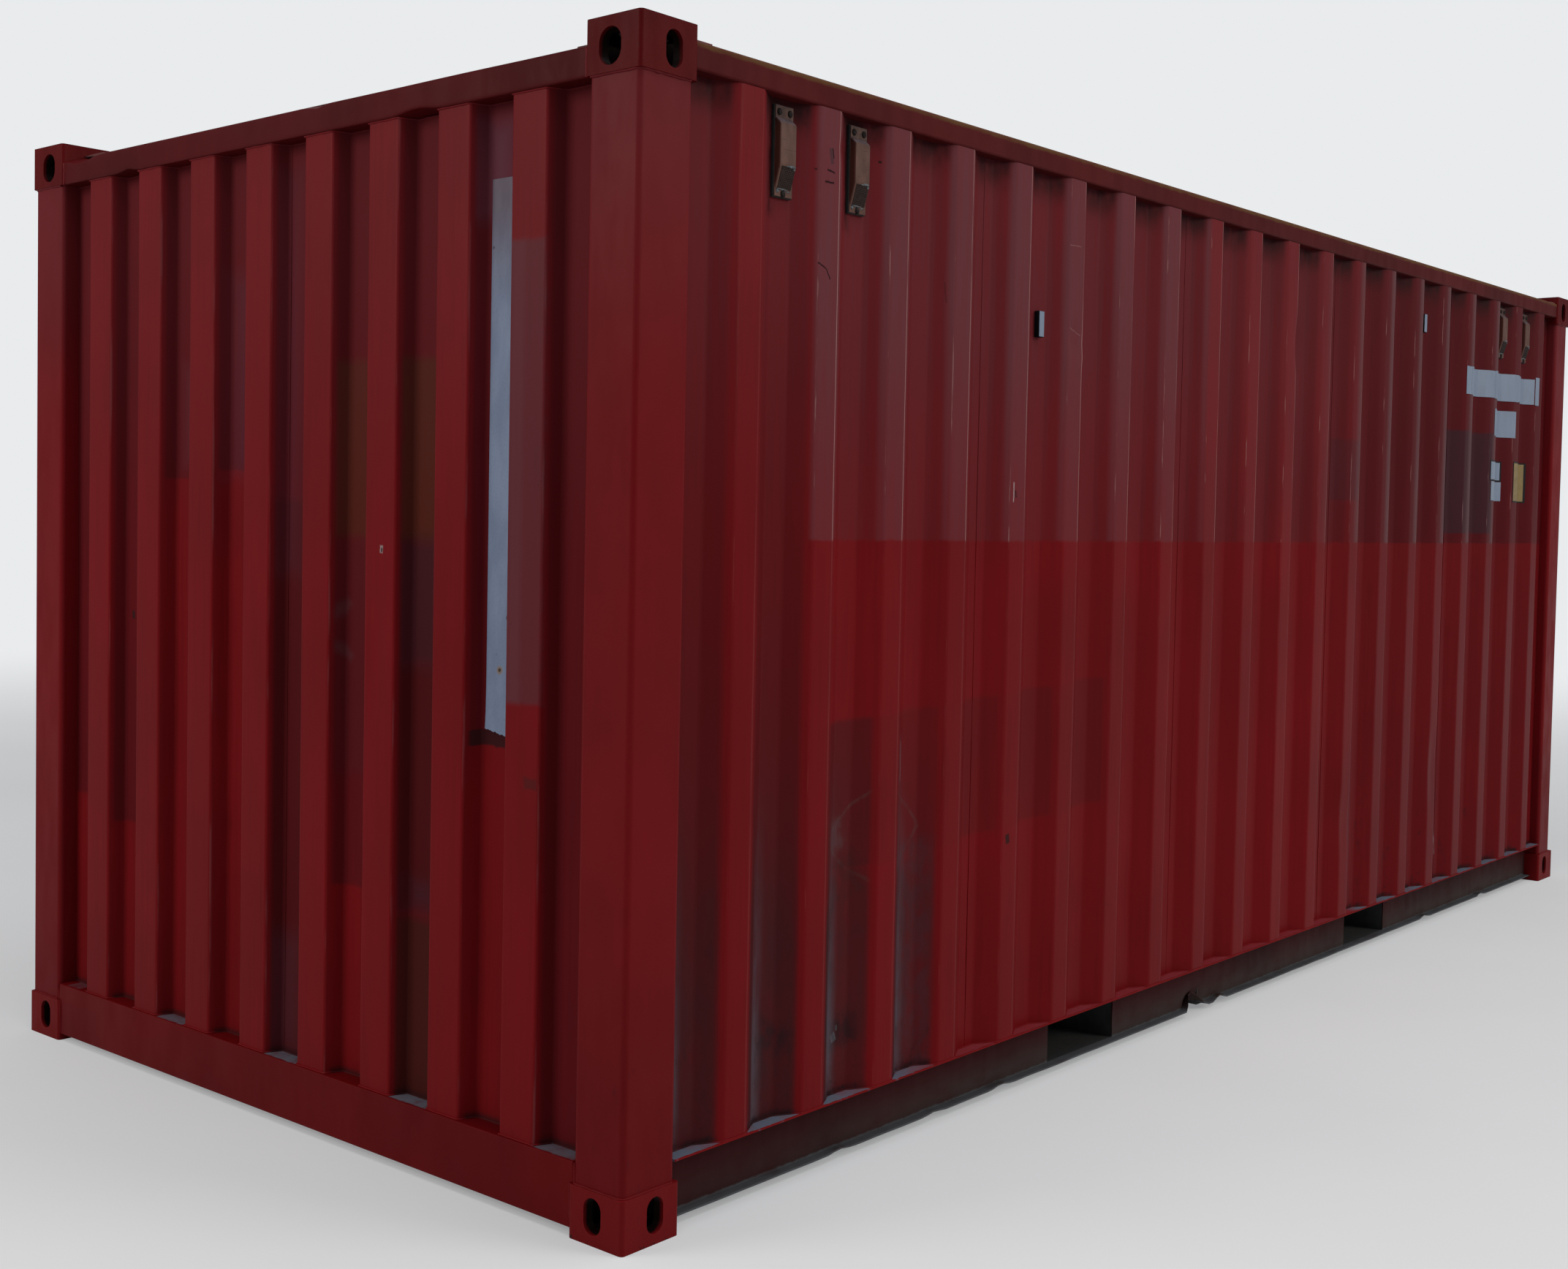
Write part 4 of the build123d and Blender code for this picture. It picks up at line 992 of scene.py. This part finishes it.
LOOKS = {
    "post": (FRAME_PAINT, "frame_paint"),
    "top_rail": (TOP_RAIL_PAINT, "frame_paint"),
    "door_panel": (DOOR_PAINT, "door_paint"),
    "locking_bars": (ZINC, "zinc_plated_gear"),
    "door_brackets": (ZINC, "zinc_plated_gear"),
    "hinge_blades": (ZINC, "zinc_plated_gear"),
    "door_gaskets": (RUBBER, "gasket_rubber"),
    "roof": (ROOF_PAINT, "roof_paint"),
    "floor": (PLYWOOD, "floor_plywood"),
    "floor_cross_members": (UNDER_COATING, "underframe_coating"),
    "fork_pocket": (UNDER_COATING, "underframe_coating"),
    "ventilators": (ABS, "vent_plastic"),
}
for name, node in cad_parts.items():
    for ending, (look, slot) in LOOKS.items():
        if name.endswith(ending):
            node.data.materials.clear()
            node.data.materials.append(look)


# Ventilators

VENT_HOLLOWS = (0, 1, 17, 18)
# A hood's section: out from the wall, down from the top of its base plate
HOOD_SECTION = ((0.0, 0.027), (0.011, 0.027), (0.026, 0.042), (0.026, 0.135), (0.011, 0.189), (0.0, 0.189))
HOOD_FROM = -0.0315
HOOD_WIDTH = 0.0585
# The wire screen in its lower slope: where its middle lies, its wires' spacing and thickness
SCREEN_OUT = 0.0188
SCREEN_DROP = 0.162
SCREEN_LEAN = math.atan2(0.015, 0.054)
SCREEN_WIRES = 13
SCREEN_SPREAD = 0.00375
SCREEN_PITCH = 0.004
WIRE = 0.0012
WIRE_DEPTH = 0.0018
# Screws: along, down; then blobs of sealant: along, down, half width, half height, out
VENT_SCREWS = ((-0.019, 0.015), (0.019, 0.015), (-0.002, 0.1975))
VENT_BLOBS = (
    (0.012, 0.1365, 0.013, 0.0028, 0.0262),
    (0.021, 0.141, 0.005, 0.004, 0.0245),
    (-0.002, 0.1375, 0.006, 0.0018, 0.0258),
    (-0.006, 0.187, 0.02, 0.0022, 0.0118),
    (-0.021, 0.192, 0.006, 0.003, 0.0108),
    (0.016, 0.1905, 0.008, 0.002, 0.0108),
)


def vent_hood(shape, middle, face, side, top):
    """The hood's section drawn out along the wall."""
    start = middle + HOOD_FROM
    verts = [shape.verts.new((start, face + side * out, top - drop)) for out, drop in HOOD_SECTION]
    drawn = bmesh.ops.extrude_face_region(shape, geom=[shape.faces.new(verts)])
    shift(shape, drawn, (HOOD_WIDTH, 0, 0))


def vent_plate(shape, middle, face, side, reach, outs, levels, round_off):
    """A flat plate against the wall, between two distances out from it."""
    near, far = sorted(face + side * out for out in outs)
    block(shape, (middle + reach[0], near, levels[0]), (middle + reach[1], far, levels[1]), round_off, 1)


def vent_screen(shape, middle, face, side, top):
    """Upright and level wires in the hood's lower slope."""
    turn = Matrix.Rotation(side * -SCREEN_LEAN, 4, "X")
    half = (SCREEN_WIRES - 1) / 2
    for number in range(SCREEN_WIRES):
        spot = (middle + (number - half) * SCREEN_SPREAD, face + side * SCREEN_OUT, top - SCREEN_DROP)
        size = Matrix.Diagonal((WIRE, WIRE_DEPTH, 0.05, 1))
        bmesh.ops.create_cube(shape, size=1, matrix=Matrix.Translation(spot) @ turn @ size)
    for number in range(SCREEN_WIRES):
        along = (number - half) * SCREEN_PITCH
        out = SCREEN_OUT + along * math.sin(SCREEN_LEAN)
        spot = (middle, face + side * out, top - SCREEN_DROP + along * math.cos(SCREEN_LEAN))
        size = Matrix.Diagonal((0.049, WIRE_DEPTH, WIRE, 1))
        bmesh.ops.create_cube(shape, size=1, matrix=Matrix.Translation(spot) @ turn @ size)


def vent_sealant(shape, middle, face, side, top):
    """Uneven blobs of sealant along the hood's edges."""
    for seed, (x, drop, wide, tall, out) in enumerate(VENT_BLOBS):
        spot = Matrix.Translation((middle + x, face + side * out, top - drop))
        size = Matrix.Diagonal((wide, 0.0016, tall, 1))
        blob = bmesh.ops.create_icosphere(shape, subdivisions=3, radius=1, matrix=spot @ size)["verts"]
        for vert in blob:
            vert.co.z += 0.0022 * noise.noise(vert.co * 160 + Vector((0, seed, 0)))
            vert.co.x += 0.002 * noise.noise(vert.co * 110 + Vector((5, 0, 0)))


def ventilators(side_name, side):
    """Moulded hoods with a wire screen in the lower slope, on base plates with screws and sealant."""
    low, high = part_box(f"{side_name}_ventilators")
    face = side * (SIDE_CREST - SIDE_DEPTH)
    hood, base, screen, gasket, screws, sealant = (bmesh.new() for _ in range(6))
    for hollow in VENT_HOLLOWS:
        middle = (hollow + 1 - SIDE_COUNT / 2) * SIDE_PITCH
        vent_hood(hood, middle, face, side, high.z)
        vent_plate(base, middle, face, side, (-0.032, 0.032), (0.008, 0.0105), (low.z, high.z), 0.0008)
        levels = (low.z - 0.002, high.z + 0.001)
        vent_plate(gasket, middle, face, side, (-0.034, 0.033), (0.0, 0.0085), levels, 0.0012)
        vent_screen(screen, middle, face, side, high.z)
        for x, drop in VENT_SCREWS:
            spot = Matrix.Translation((middle + x, face + side * 0.011, high.z - drop))
            size = Matrix.Diagonal((0.008, 0.0045, 0.008, 1))
            bmesh.ops.create_uvsphere(screws, u_segments=12, v_segments=8, radius=1, matrix=spot @ size)
        vent_sealant(sealant, middle, face, side, high.z)
    soften(hood, hood.edges[:], 0.004, 3, clamp=True)
    bmesh.ops.recalc_face_normals(hood, faces=hood.faces[:])
    made = piece(f"{side_name}_vent_hoods", hood, ABS, weighted=True)
    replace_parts(made, f"{side_name}_ventilators")
    piece(f"{side_name}_vent_plates", base, ABS)
    piece(f"{side_name}_vent_gaskets", gasket, SPONGE)
    piece(f"{side_name}_vent_screens", screen, SCREEN)
    piece(f"{side_name}_vent_screws", screws, SCREW)
    piece(f"{side_name}_vent_sealant", sealant, SEALANT)


ventilators("left", -1)
ventilators("right", 1)


# Blank vinyl patches

FILM = 0.0003
# The strip on the end wall: its edge at the post, its width, its foot and top, and how far it stands off
STRIP_FROM = -0.78
STRIP_WIDTH = 0.07
STRIP_FOOT = 1.052
STRIP_TOP = 2.305
STRIP_X = -2.9702
STAND_OFF_FACE = 1.19


def side_vinyl(name, look, x_from, x_to, z_from, z_to, lift):
    """A film that follows the folds of the photographed side."""
    points = [(along, -(SIDE_CREST - back) - lift, z_from) for along, back in SIDE_LINE]
    shape = drawn_line(points, (0, 0, z_to - z_from), SIDE_BEND)
    for level, normal in ((x_from, -1), (x_to, 1)):
        geom = shape.verts[:] + shape.edges[:] + shape.faces[:]
        bmesh.ops.bisect_plane(
            shape, geom=geom, dist=1e-5, plane_co=(level, 0, 0), plane_no=(normal, 0, 0), clear_outer=True
        )
    outward(shape, (0, -1, 0))
    bmesh.ops.solidify(shape, geom=shape.faces[:], thickness=FILM)
    return piece(name, shape, look)


# The films: look, x from and to, z from and to, lift off the paint
for number, (look, x_from, x_to, z_from, z_to, lift) in enumerate((
    (VINYL, 1.781, 1.86, 2.101, 2.212, 0.0006),
    (VINYL, 1.833, 2.125, 2.103, 2.213, 0.0010),
    (VINYL, 2.106, 2.396, 2.101, 2.215, 0.0014),
    (VINYL, 2.385, 2.613, 2.104, 2.212, 0.0010),
    (VINYL, 2.618, 2.658, 2.101, 2.221, 0.0006),
    (VINYL, 2.114, 2.372, 1.949, 2.06, 0.0006),
    (BLACK_VINYL, 2.082, 2.292, 1.763, 1.848, 0.0004),
    (VINYL, 2.088, 2.284, 1.769, 1.842, 0.0010),
    (VINYL, 2.096, 2.292, 1.682, 1.761, 0.0006),
    (BLACK_VINYL, 2.362, 2.584, 1.679, 1.85, 0.0004),
    (YELLOW_VINYL, 2.367, 2.572, 1.685, 1.844, 0.0010),
)):
    side_vinyl(f"blank_side_film_{number}", look, x_from, x_to, z_from, z_to, lift)

strip = bmesh.new()
bmesh.ops.create_grid(strip, x_segments=14, y_segments=80, size=0.5)
for vert in strip.verts:
    across, up = vert.co.x + 0.5, vert.co.y + 0.5
    foot = STRIP_FOOT + 0.013 * across + 0.0045 * noise.noise(Vector((across * 9, 2.0, 0.0)))
    curl = 0.0006 + 0.003 * (1 - up) ** 30
    vert.co = (STRIP_X - curl, STRIP_FROM + STRIP_WIDTH * across, foot + (STRIP_TOP - foot) * up)
outward(strip, (-1, 0, 0))
bmesh.ops.solidify(strip, geom=strip.faces[:], thickness=FILM)
piece("blank_end_film", strip, STRIP_VINYL)

plates, plate_faces = bmesh.new(), bmesh.new()
for x_from, x_to, z_from, z_to in ((-1.419, -1.393, 2.058, 2.129), (1.365, 1.391, 2.31, 2.38)):
    low, high = (x_from, -STAND_OFF_FACE, z_from), (x_to, -STAND_OFF_FACE + 0.0155, z_to)
    block(plates, low, high, 0.0015)
    low = (x_from + 0.001, -STAND_OFF_FACE - 0.0006, z_from + 0.002)
    block(plate_faces, low, (x_to - 0.001, -STAND_OFF_FACE + 0.0005, z_to - 0.001), 0.0003, 1)
piece("small_stand_off_blocks", plates, BLACK_VINYL)
piece("small_stand_off_faces", plate_faces, VINYL)


# Seams and welds


def weld_line(name, lines, radius, look):
    """Weld metal laid along some lines: round beads with uneven ripples."""
    drawn = bpy.data.curves.new(name, "CURVE")
    drawn.dimensions = "3D"
    drawn.bevel_depth = radius
    drawn.bevel_resolution = 1
    drawn.use_fill_caps = True
    for line in lines:
        spline = drawn.splines.new("POLY")
        spline.points.add(len(line) - 1)
        for point, place in zip(spline.points, line):
            point.co = (*place, 1.0)
    carrier = bpy.data.objects.new(name, drawn)
    made = bmesh.new()
    made.from_mesh(bpy.data.meshes.new_from_object(carrier))
    bpy.data.objects.remove(carrier)
    for vert in made.verts:
        vert.co += radius * 0.5 * noise.noise_vector(vert.co * 130)
    return piece(name, made, look, angle=80)


def stepped(points, pitch):
    """The points of a line, with more between them at about a pitch."""
    result = [Vector(points[0])]
    for start, end in zip(points, points[1:]):
        start, end = Vector(start), Vector(end)
        count = max(1, round((end - start).length / pitch))
        result += [start.lerp(end, number / count) for number in range(1, count + 1)]
    return result


SEAM_PITCH = 0.05
FOOT_PITCH = 0.012
WELD_PITCH = 0.01
SEAM_HOLLOWS = (3, 7, 11, 15)
END_SEAM_Y = 0.045
side_seams, side_welds, end_welds = [], [], []
for side in (-1, 1):
    for hollow in SEAM_HOLLOWS:
        x = (hollow + 1 - SIDE_COUNT / 2) * SIDE_PITCH
        y = side * (SIDE_CREST - SIDE_DEPTH)
        side_seams.append(stepped(((x, y, FLOOR_TOP), (x, y, TUBE_BASE)), SEAM_PITCH))
    foot = [(along, side * (SIDE_CREST - back), FLOOR_TOP + 0.0005) for along, back in SIDE_LINE]
    side_welds.append(stepped(foot, FOOT_PITCH))
for level in (FLOOR_TOP + 0.0005, POST_TOP - 0.0005):
    end_welds.append(stepped([(back - END_CREST, along, level) for along, back in END_LINE], FOOT_PITCH))
seam_x = END_DEPTH - END_CREST
end_seam = stepped(((seam_x, END_SEAM_Y, FLOOR_TOP), (seam_x, END_SEAM_Y, POST_TOP)), SEAM_PITCH)
weld_line("side_sheet_seams", side_seams, 0.0009, SIDE_PAINT)
weld_line("end_sheet_seam", [end_seam], 0.001, END_PAINT)
weld_line("side_foot_welds", side_welds, 0.0022, SIDE_PAINT)
weld_line("end_wall_welds", end_welds, 0.003, END_PAINT)

FITTING_TOP = 0.118
FITTING_REACH = 2.87  # from the middle to where a fitting's long side starts
POST_ROUND = 0.015
POST_INNER_Y = 1.07
REAR_POST_X = 2.985
REAR_FACE_X = 2.999
SILL_END_Y = 1.057
SLIT_Y = 1.068
SLIT_FOOT = 0.112
SILL_FOOT = 0.022
HEADER_LIP = 2.535

post_lines, gap_lines, filled = [], [], []
for side in (-1, 1):
    for level in (FITTING_TOP, POST_TOP):
        bend = []
        for turn in (math.pi * part / 12 for part in range(7)):
            x = POST_ROUND * (1 - math.cos(turn)) - STEEL_X
            bend.append((x, side * (STEEL_Y - POST_ROUND * (1 - math.sin(turn))), level))
        for line in (
            ((-STEEL_X, side * POST_INNER_Y, level), *bend, (-FITTING_REACH, side * STEEL_Y, level)),
            ((FITTING_REACH, side * STEEL_Y, level), (REAR_POST_X, side * STEEL_Y, level)),
            ((REAR_FACE_X, side * 1.18, level), (REAR_FACE_X, side * 1.2, level)),
        ):
            post_lines.append(stepped(line, WELD_PITCH))
    for low, high in ((SILL_FOOT, FITTING_TOP), (POST_TOP, HEADER_LIP)):
        ends = [(-STEEL_X + 0.001, side * SILL_END_Y, z) for z in (low, high)]
        gap_lines.append(stepped(ends, WELD_PITCH))
    ends = [(-STEEL_X + 0.005, side * SLIT_Y, z) for z in (SLIT_FOOT, FLOOR_TOP - 0.002)]
    filled.append(stepped(ends, WELD_PITCH))
weld_line("post_welds", post_lines, 0.0042, FRAME_PAINT)
weld_line("sill_and_header_welds", gap_lines, 0.004, FRAME_PAINT)
weld_line("sill_end_welds", filled, 0.0065, FRAME_PAINT)


def heads(name, places, radius, look):
    """Domed bolt heads on washers that face the doors' side."""
    shape = bmesh.new()
    for x, y, z in places:
        washer = Matrix.Translation((x + 0.001, y, z)) @ Matrix.Rotation(math.pi / 2, 4, "Y")
        bmesh.ops.create_cone(
            shape, segments=20, radius1=radius * 1.35, radius2=radius * 1.25, depth=0.002,
            cap_ends=True, matrix=washer,
        )
        dome = Matrix.Translation((x + 0.002, y, z)) @ Matrix.Diagonal((radius * 0.6, radius, radius, 1))
        bmesh.ops.create_uvsphere(shape, u_segments=16, v_segments=10, radius=1, matrix=dome)
    return piece(name, shape, look)


# Faces and places of the door gear that its bolts stand on
STRAP_FACE = 2.98
BLADE_FACE = 2.988
CATCH_FACE = 2.981
BAR_PLACES = (0.21, 0.8395)
STRAP_LEVELS = (0.36915, 0.7171, 1.9009, 2.24885)
BLADE_LEVELS = (0.245, 0.94667, 1.64833, 2.35)
BLADE_PLACES = (1.115, 1.065, 1.015)
CATCHES = ((0.5895, 1.1117), (0.46, 1.5063))
CATCH_RISE = 0.036

strap_bolts, blade_bolts, catch_bolts = [], [], []
for side in (-1, 1):
    for bar in BAR_PLACES:
        for level in STRAP_LEVELS:
            for along in (-0.0325, 0.0325):
                for up in (-0.014, 0.014):
                    strap_bolts.append((STRAP_FACE, side * bar + along, level + up))
    for level in BLADE_LEVELS:
        for across in BLADE_PLACES:
            for up in (-0.014, 0.014):
                blade_bolts.append((BLADE_FACE, side * across, level + up))
    for across, level in CATCHES:
        for along in (-0.02, 0.02):
            catch_bolts.append((CATCH_FACE, side * across + along, level + CATCH_RISE))
heads("strap_bolts", strap_bolts, 0.0055, ZINC)
heads("blade_bolts", blade_bolts, 0.0065, ZINC)
heads("catch_bolts", catch_bolts, 0.0055, ZINC)


# Floor, light and camera

PALE = linear("#e9ebed")

floor_mesh = bmesh.new()
bmesh.ops.create_grid(floor_mesh, x_segments=1, y_segments=1, size=60)
floor_data = bpy.data.meshes.new("studio_floor")
floor_mesh.to_mesh(floor_data)
floor_mesh.free()
studio_floor = bpy.data.objects.new("studio_floor", floor_data)
bpy.context.scene.collection.objects.link(studio_floor)


def floor_finish():
    """Matt grey floor that keeps the shadow, and turns as pale as the background further away."""
    floor = Finish("matt_studio_floor", "#d4d5d6", Roughness=0.95, Specular_IOR_Level=0.0)
    tree = floor.tree
    floor.lay("#d0d1d2", (floor.grain(1.5), 0.3, 0.7))
    tree.links.new(floor.shown, floor.shader["Base Color"])
    reach = add(tree, "VectorMath", (floor.place,), "Value", operation="LENGTH")
    glow = add(tree, "Emission", {"Color": PALE, "Strength": 1.0})
    rays = add(tree, "LightPath").node.outputs
    seen = (rays["Is Camera Ray"], rays["Is Transmission Ray"])
    seen = (add(tree, "Math", seen, operation="MAXIMUM"), rays["Is Glossy Ray"])
    lifted = floor.share((reach, 4.0, 16.0, 0.3, 1.0), add(tree, "Math", seen, operation="MAXIMUM"))
    matt = tree.nodes["Principled BSDF"].outputs["BSDF"]
    blend = add(tree, "MixShader", (lifted, matt, glow))
    tree.links.new(blend, tree.nodes["Material Output"].inputs["Surface"])
    return floor.made


floor_data.materials.append(floor_finish())

scene = bpy.context.scene
world = bpy.data.worlds.new("studio")
world.use_nodes = True
scene.world = world
sky = world.node_tree
shade = sky.nodes["Background"]
shade.inputs["Color"].default_value = linear("#e9edf2")
shade.inputs["Strength"].default_value = 0.42
rays = add(sky, "LightPath").node.outputs
seen = add(sky, "Math", (rays["Is Camera Ray"], rays["Is Transmission Ray"]), operation="MAXIMUM")
backdrop = add(sky, "Background", {"Color": PALE, "Strength": 1.0})
both = add(sky, "MixShader", (seen, shade.outputs["Background"], backdrop))
sky.links.new(both, sky.nodes["World Output"].inputs["Surface"])


def lamp(name, place, target, width, height, power, colour):
    """A soft rectangular lamp that looks at a point."""
    light = bpy.data.lights.new(name, "AREA")
    light.shape = "RECTANGLE"
    light.size, light.size_y = width, height
    light.energy = power
    light.color = linear(colour)[:3]
    made = bpy.data.objects.new(name, light)
    scene.collection.objects.link(made)
    made.location = place
    made.rotation_euler = (Vector(target) - Vector(place)).to_track_quat("-Z", "Y").to_euler()


lamp("side_lamp", (7.0, -18.0, 10.0), (0.5, -1.2, 1.2), 9.0, 7.0, 1700, "#fff6ec")
lamp("top_lamp", (-2.0, -3.0, 9.0), (-1.0, -1.5, 0.0), 9.0, 7.0, 420, "#fdfdff")
lamp("end_lamp", (-10.0, 3.5, 5.0), (-3.0, 0.0, 1.2), 4.0, 4.0, 360, "#fff8f0")

camera_data = bpy.data.cameras.new("camera")
camera = bpy.data.objects.new("camera", camera_data)
scene.collection.objects.link(camera)
camera.location = (-5.8006, -3.8579, 1.5504)
camera.rotation_euler = [math.radians(angle) for angle in (87.7787, -0.996, -48.1669)]
camera_data.sensor_width = 36.0
camera_data.lens = 42.568
camera_data.shift_x = 0.0596
camera_data.shift_y = -0.0282
camera_data.clip_end = 200
scene.camera = camera
scene.view_settings.view_transform = "Standard"
